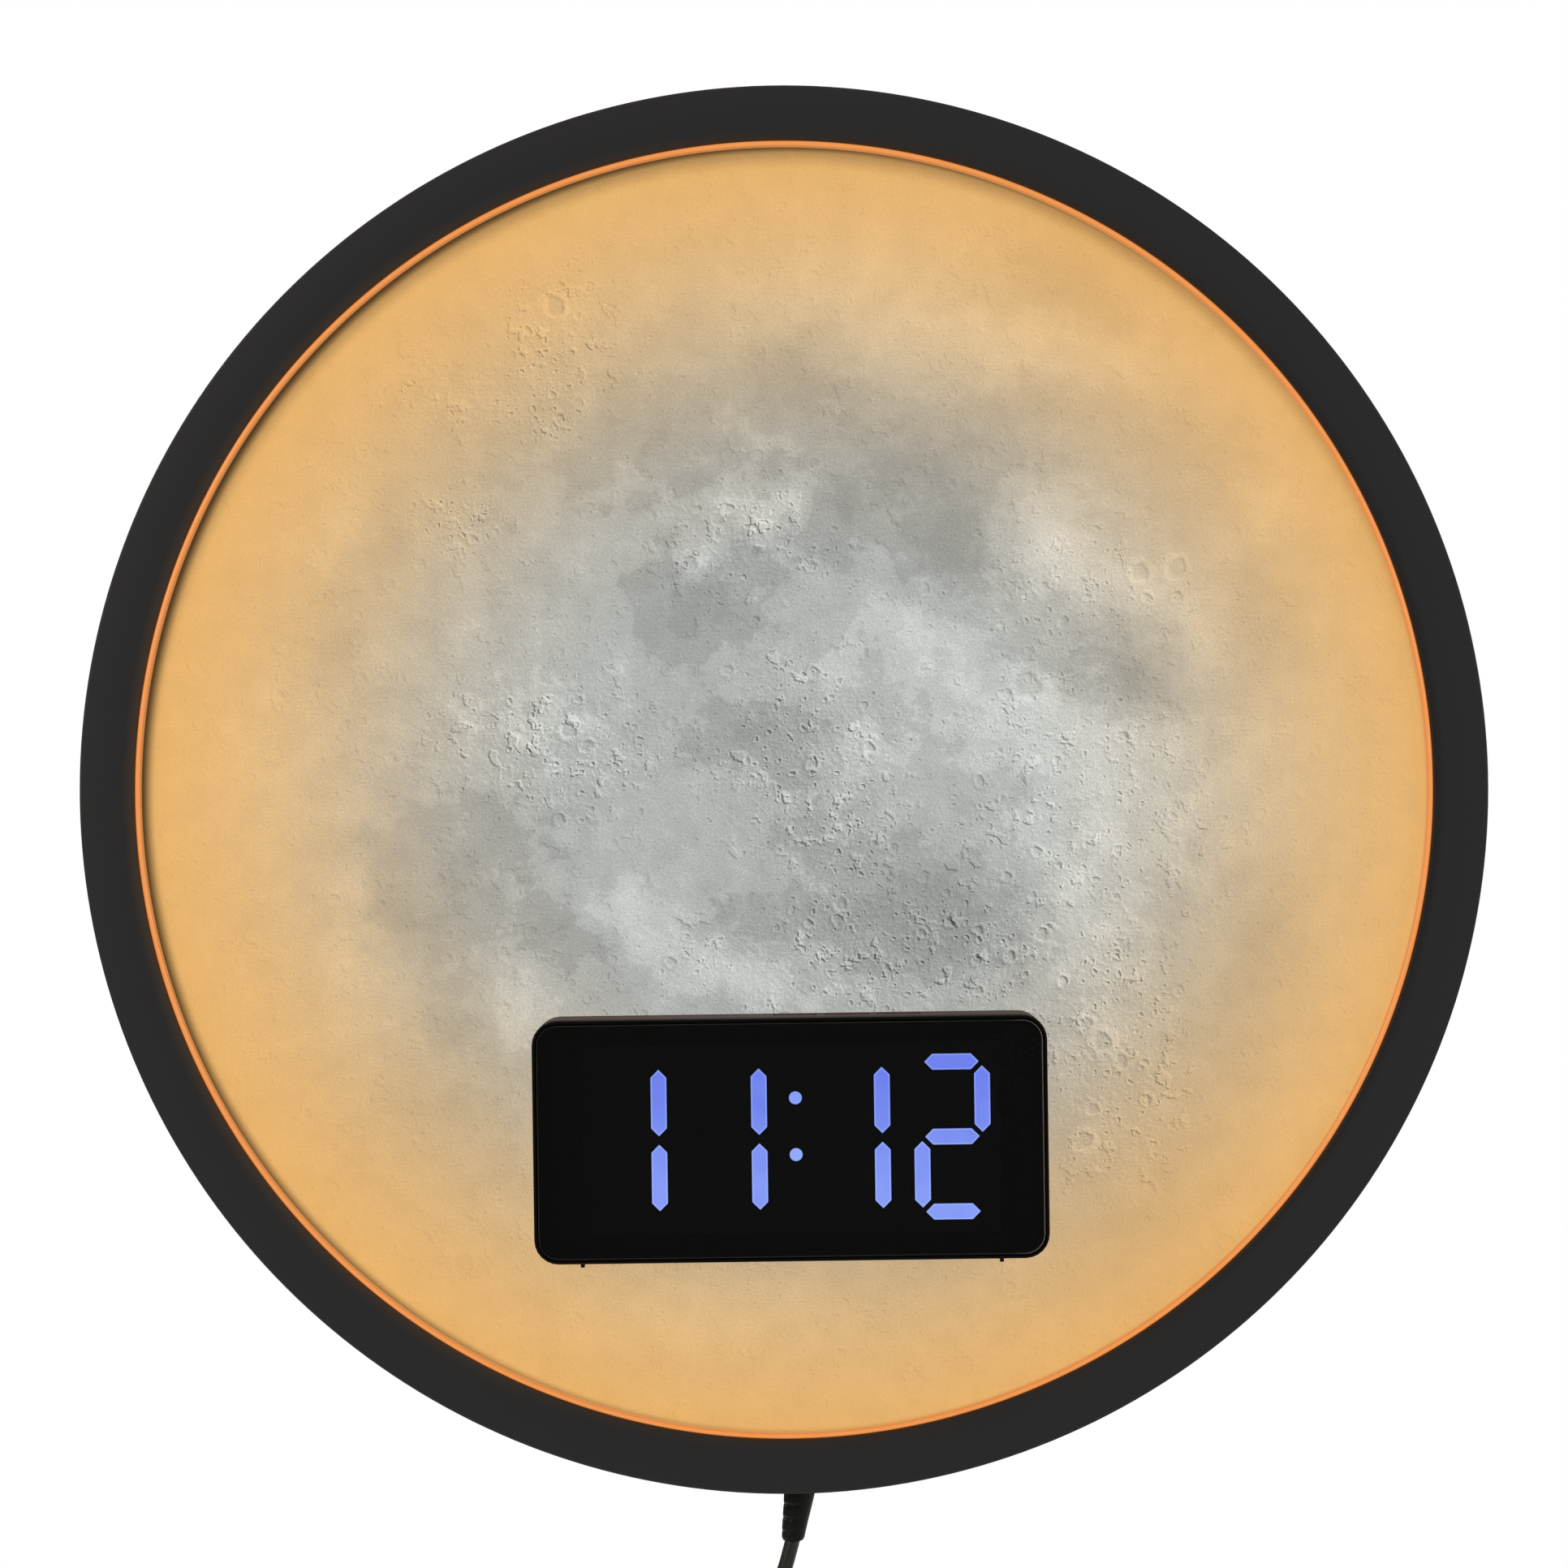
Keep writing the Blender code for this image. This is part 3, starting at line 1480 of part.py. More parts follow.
def make_usb_plug(cord_end):
    x = cord_end.x
    y = cord_end.y
    tail_top = cord_end.z - clearance
    grip_top = tail_top - grip_tail_length
    grip_bottom = grip_top - grip_height
    seat_width = usb_width + 2 * clearance
    seat_depth = usb_depth + 2 * clearance
    shape = bmesh.new()
    add_box_about(
        shape, x, y, seat_width + 2 * grip_side_wall, seat_depth + 2 * grip_face_wall,
        grip_bottom, grip_top, grip_corner,
    )
    grip = solid("usb_grip", black_rubber, shape)
    tail = bmesh.new()
    add_rod(
        tail, (x, y, grip_top - root), (x, y, tail_top), cord_radius + grip_shoulder_wall,
        post_sides, cord_radius + grip_tail_wall,
    )
    join(grip, tool("usb_grip_tail", tail))
    seat = bmesh.new()
    add_box_about(
        seat, x, y, seat_width, seat_depth, grip_bottom - through, grip_bottom + usb_seat,
    )
    cut(grip, tool("usb_shell_seat", seat))

    shell_top = grip_bottom + usb_seat - clearance
    mouth = shell_top - usb_length
    inner_width = usb_width - 2 * usb_sheet
    shape = bmesh.new()
    add_box_about(shape, x, y, usb_width, usb_depth, mouth, shell_top)
    shell = solid("usb_shell", nickel_sheet, shape)
    inside = bmesh.new()
    add_box_about(
        inside, x, y, inner_width, usb_depth - 2 * usb_sheet, mouth - through, shell_top - usb_sheet,
    )
    cut(shell, tool("usb_shell_inside", inside))
    latches = bmesh.new()
    latch_top = grip_bottom - latch_drop + latch_size
    for side in (-1, 1):
        latch_x = x + side * usb_width / 4
        add_box_about(
            latches, latch_x, y, latch_size, usb_depth + 2 * through, latch_top - latch_size,
            latch_top,
        )
    cut(shell, tool("usb_shell_latches", latches))
    shape = bmesh.new()
    tongue_y = y + (tongue_thickness - usb_depth) / 2 + usb_sheet + clearance
    add_box_about(
        shape, x, tongue_y, inner_width - 2 * clearance, tongue_thickness,
        mouth + tongue_setback, shell_top - usb_sheet - clearance,
    )
    solid("usb_tongue", white_plastic, shape)


def shade_parts():
    """Settles each part's modifiers into its mesh and shades its round faces smooth."""
    bpy.context.view_layer.update()
    settled = bpy.context.evaluated_depsgraph_get()
    for piece in list(parts.objects):
        if piece.type != "MESH":
            continue
        mesh = bpy.data.meshes.new_from_object(piece.evaluated_get(settled))
        piece.modifiers.clear()
        piece.data = mesh
        mesh.name = piece.name
        mesh.shade_smooth()
        mesh.set_sharp_from_angle(angle=math.radians(30.0))


make_frame_ring()
make_glow_ring()
make_moon_panel()
make_spacer_hoop()
make_led_strip()
make_reflector_sheet()
make_back_cover()
make_back_screws()
make_hanger_plate()
make_driver_board()
make_driver_screws()
make_strip_lead()
make_front_shell()
make_lens_panel()
make_mask_film()
make_diffuser_film()
make_segment_block()
make_main_board()
make_keys()
make_coin_cell()
make_buzzer()
make_rear_plate()
make_adhesive_pad()
make_module_lead()
relief_top = make_strain_relief()
make_inner_lead(relief_top)
plug_start = make_cord()
make_cord_tie()
make_usb_plug(plug_start)
shade_parts()
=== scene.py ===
# %% [markdown]
# # A digital wall clock with a lit moon disc
# The clock is a dark moulded frame round an opal disc. The disc is printed as the full moon and lit
# from behind at its rim, so it glows amber at the edge and stays grey in the middle. A small black
# clock module sits on the disc, and one thin cord leaves the frame at the bottom.
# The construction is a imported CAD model. This lesson loads it and gives it its looks.

import math

import bmesh
import bpy
from mathutils import Matrix, Vector


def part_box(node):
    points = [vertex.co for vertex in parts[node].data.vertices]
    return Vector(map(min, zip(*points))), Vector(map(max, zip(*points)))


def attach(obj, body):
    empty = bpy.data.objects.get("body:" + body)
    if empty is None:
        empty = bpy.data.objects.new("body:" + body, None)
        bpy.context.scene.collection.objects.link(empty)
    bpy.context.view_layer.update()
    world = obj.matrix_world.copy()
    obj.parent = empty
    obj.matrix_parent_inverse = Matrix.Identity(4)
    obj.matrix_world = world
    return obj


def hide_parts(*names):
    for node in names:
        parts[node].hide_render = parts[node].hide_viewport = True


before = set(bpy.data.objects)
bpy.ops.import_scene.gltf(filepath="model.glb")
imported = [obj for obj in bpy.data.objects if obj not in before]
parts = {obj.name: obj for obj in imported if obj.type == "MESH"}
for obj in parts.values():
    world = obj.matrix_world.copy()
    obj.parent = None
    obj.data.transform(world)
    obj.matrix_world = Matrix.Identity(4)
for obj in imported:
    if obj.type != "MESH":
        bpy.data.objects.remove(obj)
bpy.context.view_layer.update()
scene = bpy.context.scene

# %% [markdown]
# ## The camera comes first
# The photo looks straight at the clock from a little under a metre, which shows in one place only:
# the module stands 18 mm proud and sits low, so a thin strip of its top side can be seen. A camera
# 0.85 m in front of the frame's face gives that strip its width. The frame is 300 mm across and fills
# 1736 of the picture's 1932 pixels, and that sets the focal length. The frame's middle lies 7 pixels
# under the picture's, so the camera stands 1.2 mm higher than the frame's middle.

# %% Camera
front_y = -0.022
camera_distance = 0.850
camera_height = 0.0012
photo_pixels = 1932
camera_data = bpy.data.cameras.new("photo_camera")
camera_data.sensor_width = 36.0
camera_data.lens = 91.7
camera_data.clip_start = 0.05
camera = bpy.data.objects.new("photo_camera", camera_data)
camera.location = (0.0, front_y - camera_distance, camera_height)
camera.rotation_euler = (math.radians(90.0), 0.0, 0.0)
scene.collection.objects.link(camera)
scene.camera = camera
pixels_a_metre = camera_data.lens / camera_data.sensor_width * photo_pixels / camera_distance
print("pixels a millimetre at the frame's face:", round(pixels_a_metre / 1000, 3))

# %% [markdown]
# ## Colours and nodes
# Colours are written as the sRGB hex values that a colour picker shows. Blender's shaders work in
# linear light, so one function turns them over. A second function adds a node, sets it and links it:
# every material below is built with it. Patterns are sized in millimetres, so each material first
# multiplies the object's coordinates, which are metres, by a thousand.

# %% Colours


def linear(hex_colour):
    """Turns an sRGB hex colour into linear red, green, blue and a full alpha."""
    channels = [int(hex_colour[i:i + 2], 16) / 255 for i in (1, 3, 5)]
    return tuple(
        c / 12.92 if c <= 0.04045 else ((c + 0.055) / 1.055) ** 2.4 for c in channels
    ) + (1.0,)


print("frame charcoal in linear light:", [round(c, 4) for c in linear("#2C2C2C")[:3]])

# %% Nodes


def add(owner, kind, inputs=None, **settings):
    """Adds a node. An input is a value, a node, whose first output it takes, or one output."""
    tree = owner.node_tree
    made = tree.nodes.new("ShaderNode" + kind)
    for name, value in settings.items():
        setattr(made, name, value)
    sockets = [socket for socket in made.inputs if socket.enabled]
    for name, value in (inputs or {}).items():
        if isinstance(name, int):
            socket = sockets[name]
        else:
            socket = next(socket for socket in sockets if socket.name == name)
        if isinstance(value, bpy.types.Node):
            value = next(output for output in value.outputs if output.enabled)
        if isinstance(value, bpy.types.NodeSocket):
            tree.links.new(value, socket)
        else:
            socket.default_value = value
    return made


def fill_ramp(ramp, stops):
    """Sets the stops of a colour ramp, given as positions and linear colours."""
    elements = ramp.color_ramp.elements
    while len(elements) < len(stops):
        elements.new(0.5)
    for element, (position, colour) in zip(elements, stops):
        element.position = position
        element.color = colour


# %% Materials


def surface_of(finish):
    """The material's shader."""
    return finish.node_tree.nodes["Principled BSDF"]


def new_finish(name, colour, roughness, **values):
    """A new material. Uniform values go straight on the shader's own sockets."""
    finish = bpy.data.materials.new(name)
    finish.use_nodes = True
    values = {"Base_Color": linear(colour), "Roughness": roughness, **values}
    for key, value in values.items():
        surface_of(finish).inputs[key.replace("_", " ")].default_value = value
    finish.diffuse_color = linear(colour)
    return finish


def feed(finish, name, source):
    """Links a node, or one of its outputs, to the shader's input of that name."""
    if isinstance(source, bpy.types.Node):
        source = next(output for output in source.outputs if output.enabled)
    finish.node_tree.links.new(source, surface_of(finish).inputs[name])


def in_millimetres(finish):
    """The object's own coordinates in millimetres. Every piece sits at the origin, so they are real."""
    where = add(finish, "TexCoord").outputs["Object"]
    return add(finish, "VectorMath", {0: where, "Scale": 1000.0}, operation="SCALE")


def face_on(finish, place):
    """The place as seen from the front: its X and Z, without its depth."""
    split = add(finish, "SeparateXYZ", {0: place})
    return add(finish, "CombineXYZ", {"X": split.outputs["X"], "Y": split.outputs["Z"]})


# %% [markdown]
# ## The world and the lights
# The photo is a cut-out on pure white, with soft even light. The camera's own rays therefore see a
# white world, while every other ray meets a dim grey one, because a white room would show in the
# gloss lens and turn the black plastics grey. Two large soft lights stand at the front left and
# right, out of the lens panel's mirror direction. The left one is the stronger, because the photo's
# cord is bright on its left side. One hangs overhead, and two light the back. The view transform is
# Standard, so that the colours come out as they are written.

# %% World and lights
scene.view_settings.view_transform = "Standard"
scene.view_settings.look = "None"
world = bpy.data.worlds.new("studio")
scene.world = world
world.use_nodes = True
world.node_tree.nodes.clear()
seen = add(world, "Background", {"Color": (1.0, 1.0, 1.0, 1.0), "Strength": 1.0})
lit = add(world, "Background", {"Color": linear("#F4F1EC"), "Strength": 0.06})
ray = add(world, "LightPath").outputs["Is Camera Ray"]
mixed = add(world, "MixShader", {0: ray, 1: lit, 2: seen})
add(world, "OutputWorld", {"Surface": mixed})


def area_light(name, place, target, size, power, colour):
    """A round softbox that faces its target."""
    data = bpy.data.lights.new(name, "AREA")
    data.shape = "DISK"
    data.size = size
    data.energy = power
    data.color = linear(colour)[:3]
    light = bpy.data.objects.new(name, data)
    light.location = place
    light.rotation_euler = (Vector(target) - Vector(place)).to_track_quat("-Z", "Y").to_euler()
    scene.collection.objects.link(light)


area_light("left_softbox", (-1.25, -0.95, 0.55), (0.0, 0.0, 0.0), 0.9, 11.2, "#FFFBF5")
area_light("right_softbox", (1.25, -0.95, 0.35), (0.0, 0.0, 0.0), 0.9, 6.8, "#F4F8FF")
area_light("overhead_softbox", (0.0, -0.35, 1.15), (0.0, 0.0, 0.0), 0.7, 3.5, "#FFE9DC")
area_light("rear_left_softbox", (-0.95, 1.05, 0.60), (0.0, 0.0, -0.05), 0.8, 16.0, "#FFFFFF")
area_light("rear_right_softbox", (1.05, 0.95, 0.30), (0.0, 0.0, -0.05), 0.8, 11.0, "#FFFFFF")
print("watts of light:", sum(light.energy for light in bpy.data.lights))

# %% [markdown]
# ## The floor
# A plain pale disc lies well below the clock, outside the photo's view. It only gives the other
# views a ground and the underside a little bounced light. A faint mottle keeps it from being flat.

# %% Floor
floor_radius = 1.05
floor_z = -0.47
floor_paper = new_finish("paper_seamless_pale", "#E9E7E2", 0.85)
floor_place = in_millimetres(floor_paper)
mottle = add(floor_paper, "TexNoise", {"Vector": floor_place, "Scale": 1 / 60, "Detail": 3.0})
floor_tone = add(
    floor_paper, "Mix", {"Factor": mottle, "A": linear("#E2E0DA"), "B": linear("#EFEDE9")},
    data_type="RGBA",
)
feed(floor_paper, "Base Color", floor_tone)
floor_shape = bmesh.new()
bmesh.ops.create_circle(floor_shape, cap_ends=True, segments=96, radius=floor_radius)
floor_mesh = bpy.data.meshes.new("floor")
floor_shape.to_mesh(floor_mesh)
floor_shape.free()
floor_mesh.materials.append(floor_paper)
floor = bpy.data.objects.new("floor", floor_mesh)
floor.location.z = floor_z
scene.collection.objects.link(floor)

# %% [markdown]
# ## The cord
# A thin round PVC lead, 3.2 mm thick and 1.5 m long, as USB leads are. The photo shows its first
# 6 mm under the strain relief. The rest hangs in a neat coil of four layers, just under the picture,
# with a USB plug under it. The route repeats the CAD's, so the cord lies where its solids lie. It
# is one open spline with a round bevel, which keeps its thickness the same all along. The spline is
# then turned into a mesh, because a spline's own box is measured with a metre of air round it.

# %% The cord's free stretches
cord_diameter = 0.0032
relief_end = Vector((0.00193, -0.0089, -0.1621))
route_spacing = 0.0008


def smooth_route(points, spacing, steps=20):
    """Points at an even spacing on a smooth curve through the route's own points."""
    padded = [points[0] * 2 - points[1]] + points + [points[-1] * 2 - points[-2]]
    fine = []
    for p0, p1, p2, p3 in zip(padded, padded[1:], padded[2:], padded[3:]):
        for step in range(steps):
            t = step / steps
            fine.append(0.5 * (
                2 * p1 + (p2 - p0) * t + (2 * p0 - 5 * p1 + 4 * p2 - p3) * t * t
                + (3 * p1 - p0 - 3 * p2 + p3) * t * t * t
            ))
    fine.append(points[-1])
    kept = [fine[0]]
    for point in fine[1:]:
        if (point - kept[-1]).length >= spacing:
            kept.append(point)
    kept[-1] = fine[-1]
    return kept


# %% [markdown]
# Each layer of the coil is a flat spiral, and the next one lies in front of it and winds back. The
# lead comes in from the upper left, at 135 degrees. It leaves an eighth of a turn further round, at
# the left, where it points straight down.

# %% The coil
coil_centre = (0.0105, -0.2001)
coil_back_y = -0.0040
coil_pitch = 0.0038
coil_outer_radius = 0.0249
coil_inner_radius = 0.0135
coil_layers = 4
turns_a_layer = 3
coil_turns = coil_layers * turns_a_layer + 0.125
coil_start = 135.0


def coil_points(points_a_turn):
    """Spirals in and out. The step to the next layer takes half a turn."""
    count = round(coil_turns * points_a_turn)
    points = []
    for step in range(count + 1):
        turned_by = coil_turns * step / count
        layer = min(int(turned_by / turns_a_layer), coil_layers - 1)
        within = turned_by - layer * turns_a_layer
        inwards = layer % 2 == 0
        radius = coil_outer_radius - coil_pitch * within
        if not inwards:
            radius = coil_inner_radius + coil_pitch * within
        climbed = 0.0
        for reversal in range(1, coil_layers):
            climbed += min(1.0, max(0.0, (turned_by - reversal * turns_a_layer) / 0.5 + 0.5))
        angle = math.radians(coil_start + 360.0 * turned_by)
        points.append(Vector((
            coil_centre[0] + radius * math.cos(angle), coil_back_y - coil_pitch * climbed,
            coil_centre[1] + radius * math.sin(angle),
        )))
    return points


coil = coil_points(40)
print("coil points:", len(coil))

# %% [markdown]
# The CAD's coil has 24 points a turn, and its first step sets the direction in which the lead comes
# in. The route starts 0.4 mm inside the strain relief and ends as far inside the plug, because both
# are moulded round the lead.

# %% The cord's whole route
coil_gap = 0.0003
cad_coil = coil_points(24)
away = (cad_coil[0] - cad_coil[1]).normalized()
upper = [relief_end + Vector(step) for step in [
    (0.00005, 0.0, 0.0004), (-0.00055, 0.0, -0.0019), (-0.00175, 0.0002, -0.0062),
    (-0.00363, 0.0012, -0.0111), (-0.00593, 0.0034, -0.0158), (-0.00753, 0.0046, -0.0184),
]] + [coil[0] + away * cord_diameter, coil[0] + away * coil_gap]
lower = [coil[-1] + Vector((x, y, z - coil_gap)) for x, y, z in [
    (0.0, 0.0, 0.0), (0.0, 0.0, -0.0032), (-0.0001, 0.0, -0.0070), (0.0001, 0.0006, -0.0120),
    (0.0006, 0.0020, -0.0172), (0.0008, 0.0026, -0.0212), (0.0008, 0.0026, -0.0247),
]]
route = smooth_route(upper, route_spacing) + coil + smooth_route(lower, route_spacing)
cord_length = sum((b - a).length for a, b in zip(route, route[1:]))
print("cord points:", len(route), "length in metres:", round(cord_length, 3))

# %% Cord
cord_curve = bpy.data.curves.new("power_cord", "CURVE")
cord_curve.dimensions = "3D"
cord_curve.bevel_depth = cord_diameter / 2
cord_curve.bevel_resolution = 4
cord_curve.use_fill_caps = True
cord_curve.resolution_u = 1
line = cord_curve.splines.new("POLY")
line.points.add(len(route) - 1)
for index, point in enumerate(route):
    line.points[index].co = (*point, 1.0)
line.use_smooth = True
drawn_cord = bpy.data.objects.new("drawn_cord", cord_curve)
scene.collection.objects.link(drawn_cord)
bpy.context.view_layer.update()
settled = drawn_cord.evaluated_get(bpy.context.evaluated_depsgraph_get())
power_cord = bpy.data.objects.new("power_cord", bpy.data.meshes.new_from_object(settled))
bpy.data.objects.remove(drawn_cord)
scene.collection.objects.link(power_cord)
print("cord faces:", len(power_cord.data.polygons))
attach(power_cord, "root")
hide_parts("cord_upper", "cord_coil", "cord_lower")

# %% [markdown]
# ## Building pieces
# Round pieces are turned: a half outline is swept round an axis in many small steps, so that their
# edge shows no corners. The CAD keeps its own steps few, because solids get heavy. Pieces that are
# drawn again here stay exactly where the CAD has them and ride on the same body.

# %% A new piece


def new_piece(name, shape, slot, *replaced, body="root", sharp=30.0):
    """Makes an object from a bmesh, shades it, and lets it ride on a CAD body."""
    bmesh.ops.recalc_face_normals(shape, faces=shape.faces)
    mesh = bpy.data.meshes.new(name)
    shape.to_mesh(mesh)
    shape.free()
    mesh.shade_smooth()
    mesh.set_sharp_from_angle(angle=math.radians(sharp))
    piece = bpy.data.objects.new(name, mesh)
    scene.collection.objects.link(piece)
    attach(piece, body)
    if replaced:
        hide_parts(*replaced)
    return piece


# %% Turned shapes


def add_turned(shape, profile, steps, centre=(0.0, 0.0)):
    """Sweeps a closed half outline, as (radius, y) pairs, round an axis along Y."""
    rings = []
    for step in range(steps):
        angle = 2 * math.pi * step / steps
        ring = []
        for radius, y in profile:
            if radius == 0.0 and rings:
                ring.append(rings[0][len(ring)])
                continue
            ring.append(shape.verts.new((
                centre[0] + radius * math.cos(angle), y, centre[1] + radius * math.sin(angle),
            )))
        rings.append(ring)
    open_profile = profile[0][0] == 0.0 and profile[-1][0] == 0.0
    sides = len(profile) - 1 if open_profile else len(profile)
    for step in range(steps):
        first, second = rings[step], rings[(step + 1) % steps]
        for i in range(sides):
            j = (i + 1) % len(profile)
            corners = []
            for corner in (first[i], second[i], second[j], first[j]):
                if corner not in corners:
                    corners.append(corner)
            shape.faces.new(corners)


def arc(centre, radius, start, end, steps):
    """Points on an arc of a half outline, with the angles in degrees."""
    return [
        (
            centre[0] + radius * math.cos(math.radians(start + (end - start) * i / steps)),
            centre[1] + radius * math.sin(math.radians(start + (end - start) * i / steps)),
        )
        for i in range(steps + 1)
    ]


def rod_profile(radius, first_y, last_y):
    """The half outline of a plain rod between two depths."""
    return [(0.0, first_y), (radius, first_y), (radius, last_y), (0.0, last_y)]


# %% Cutting and joining


def apply_boolean(piece, cutter_shape, operation):
    """Cuts or joins another shape, given as a bmesh, and leaves no slivers in the result."""
    bmesh.ops.recalc_face_normals(cutter_shape, faces=cutter_shape.faces)
    mesh = bpy.data.meshes.new("cutter")
    cutter_shape.to_mesh(mesh)
    cutter_shape.free()
    cutter = bpy.data.objects.new("cutter", mesh)
    scene.collection.objects.link(cutter)
    change = piece.modifiers.new("change", "BOOLEAN")
    change.operation = operation
    change.solver = "EXACT"
    change.object = cutter
    bpy.context.view_layer.update()
    settled = piece.evaluated_get(bpy.context.evaluated_depsgraph_get())
    result = bpy.data.meshes.new_from_object(settled)
    tidied = bmesh.new()
    tidied.from_mesh(result)
    many_sided = [face for face in tidied.faces if len(face.verts) > 4]
    bmesh.ops.triangulate(tidied, faces=many_sided, ngon_method="BEAUTY")
    bmesh.ops.dissolve_degenerate(tidied, dist=1e-7, edges=tidied.edges)
    tidied.to_mesh(result)
    tidied.free()
    piece.modifiers.clear()
    piece.data = result
    bpy.data.objects.remove(cutter)
    result.shade_smooth()
    result.set_sharp_from_angle(angle=math.radians(30.0))


# %% [markdown]
# ## The frame ring
# One injection moulding in ABS: a flat face 11.5 mm wide and a wall that hides the lamp behind it.
# Its edges are rounded by the tool to about half a millimetre. Six screw bosses stand inside the
# wall, and the back cover screws into them.

# %% Frame ring
frame_radius = 0.150
opening_radius = 0.13845
edge = 0.0006
face_back_y = -0.020
frame_back_y = -0.0027
wall_inner_radius = 0.1475
steps_round = 288
shape = bmesh.new()
add_turned(
    shape,
    [(frame_radius, frame_back_y)]
    + arc((frame_radius - edge, front_y + edge), edge, 0.0, -90.0, 5)
    + arc((opening_radius + edge / 2, front_y + edge / 2), edge / 2, -90.0, -180.0, 4)
    + [
        (opening_radius, face_back_y), (wall_inner_radius, face_back_y),
        (wall_inner_radius, frame_back_y),
    ],
    steps_round,
)
frame_piece = new_piece("frame_moulding", shape, "charcoal_paint", "frame_ring")
print("frame face, mm wide:", round((frame_radius - opening_radius) * 1000, 2))

# %% Screw bosses
boss_circle = 0.1443
boss_radius = 0.0034
boss_front_y = -0.0202
pilot_radius = 0.0014
pilot_end_y = -0.0147
boss_places = [
    (boss_circle * math.cos(math.radians(angle)), boss_circle * math.sin(math.radians(angle)))
    for angle in range(0, 360, 60)
]
bosses = bmesh.new()
pilots = bmesh.new()
for place in boss_places:
    add_turned(bosses, rod_profile(boss_radius, frame_back_y, boss_front_y), 24, place)
    add_turned(pilots, rod_profile(pilot_radius, 0.0, pilot_end_y), 20, place)
apply_boolean(frame_piece, bosses, "UNION")
apply_boolean(frame_piece, pilots, "DIFFERENCE")
print("frame moulding faces:", len(frame_piece.data.polygons))

# %% [markdown]
# ## The glow ring
# A clear acrylic bead 1 mm wide fills the gap between the frame and the disc. Light from the strip
# runs through it, so it shows as one thin even orange line. Its nose is rounded, as extruded beads are.

# %% Glow ring
bead_radius = 0.13765
bead_half_width = 0.0005
nose_y = -0.0213
foot_front_y, foot_back_y = -0.0197, -0.0191
foot_radius = 0.14045
shape = bmesh.new()
add_turned(
    shape,
    [(bead_radius + bead_half_width, foot_front_y)]
    + arc((bead_radius, nose_y), bead_half_width, 0.0, -180.0, 8)
    + [
        (bead_radius - bead_half_width, foot_back_y), (foot_radius, foot_back_y),
        (foot_radius, foot_front_y),
    ],
    steps_round,
)
glow_piece = new_piece("glow_bead", shape, "lit_amber", "glow_ring")
print("glow bead faces:", len(glow_piece.data.polygons))

# %% [markdown]
# ## The lit digits
# Seven-segment digits are windows in a black film, with a white well and an LED behind each. Only
# the lit ones show through the smoked lens: 11:12. Each lit window is a thin plate, 0.05 mm in front
# of the film, with a lighter line round it where the light meets the window's cut edge. The whole
# module was stuck on 0.8 degrees askew, so its pieces are drawn straight and then turned.

# %% Where the digits are
module_centre = (0.0014, -0.0204, -0.0731)
module_tilt = math.radians(0.8)
module_turn = Matrix.Translation(module_centre) @ Matrix.Rotation(-module_tilt, 4, "Y")
digit_x = [-0.0339, -0.0129, 0.0129, 0.0339]
level_z = 0.0157
upright_x = 0.00635
segment_width = 0.0033
upright_length = 0.0139
level_length = 0.0114
colon_x, colon_z = 0.0011, 0.0026
colon_half_gap = 0.00595
dot_radius = 0.00135
rim_line = 0.00028
plate_back, plate_front = -0.01492, -0.01498
print("digit height, mm:", round((2 * level_z + segment_width) * 1000, 1))

# %% Outlines of the lit windows


def segment_outline(x, z, length, upright, inset):
    """The six corners of a segment with 45 degree ends, drawn in by inset."""
    half = segment_width / 2 - inset
    tip = length / 2 - inset * math.sqrt(2)
    shoulder = tip - half
    outline = [
        (-shoulder, half), (shoulder, half), (tip, 0.0),
        (shoulder, -half), (-shoulder, -half), (-tip, 0.0),
    ]
    if upright:
        outline = [(-across, along) for along, across in outline]
    return [(x + a, z + b) for a, b in outline]


def dot_outline(z, inset):
    """One of the colon's round dots, drawn in by inset."""
    reach = dot_radius - inset
    angles = [math.pi * i / 12 for i in range(24)]
    return [(colon_x + reach * math.cos(a), z + reach * math.sin(a)) for a in angles]


# %% Lit digits


def add_lit_plate(shape, outer, inner, face_slot=0):
    """A thin plate with a rim band round its front face. The band takes the second material."""
    rings = []
    for outline, y in ((outer, plate_back), (outer, plate_front), (inner, plate_front)):
        rings.append([shape.verts.new(module_turn @ Vector((x, y, z))) for x, z in outline])
    shape.faces.new(rings[0])
    shape.faces.new(rings[2]).material_index = face_slot
    for first, second in zip(rings, rings[1:]):
        for i in range(len(outer)):
            j = (i + 1) % len(outer)
            shape.faces.new((first[i], first[j], second[j], second[i])).material_index = 1


lit_uprights = [(x + upright_x, side * level_z / 2) for x in digit_x[:3] for side in (-1, 1)]
lit_uprights += [(digit_x[3] + upright_x, level_z / 2), (digit_x[3] - upright_x, -level_z / 2)]
lit_levels = [(digit_x[3], z) for z in (level_z, 0.0, -level_z)]
shape = bmesh.new()
for places, length, upright in (
    (lit_uprights, upright_length, True), (lit_levels, level_length, False),
):
    for x, z in places:
        outer = segment_outline(x, z, length, upright, 0.0)
        add_lit_plate(shape, outer, segment_outline(x, z, length, upright, rim_line))
for z in (colon_z - colon_half_gap, colon_z + colon_half_gap):
    add_lit_plate(shape, dot_outline(z, 0.0), dot_outline(z, rim_line), face_slot=1)
lit_digits = new_piece("lit_digits", shape, "white_film")
print("lit windows:", len(lit_uprights) + len(lit_levels) + 2)

# %% [markdown]
# ## Screws
# The six cover screws and the hanger's two are small countersunk cross-head screws. The cross is
# what shows from behind, so each is turned again with its recess cut in.

# %% One screw
head_radius = 0.0024
head_height = 0.0016
shank_radius = 0.0011
tip_length = 0.0011
recess_span, recess_width, recess_depth = 0.0026, 0.00062, 0.0011


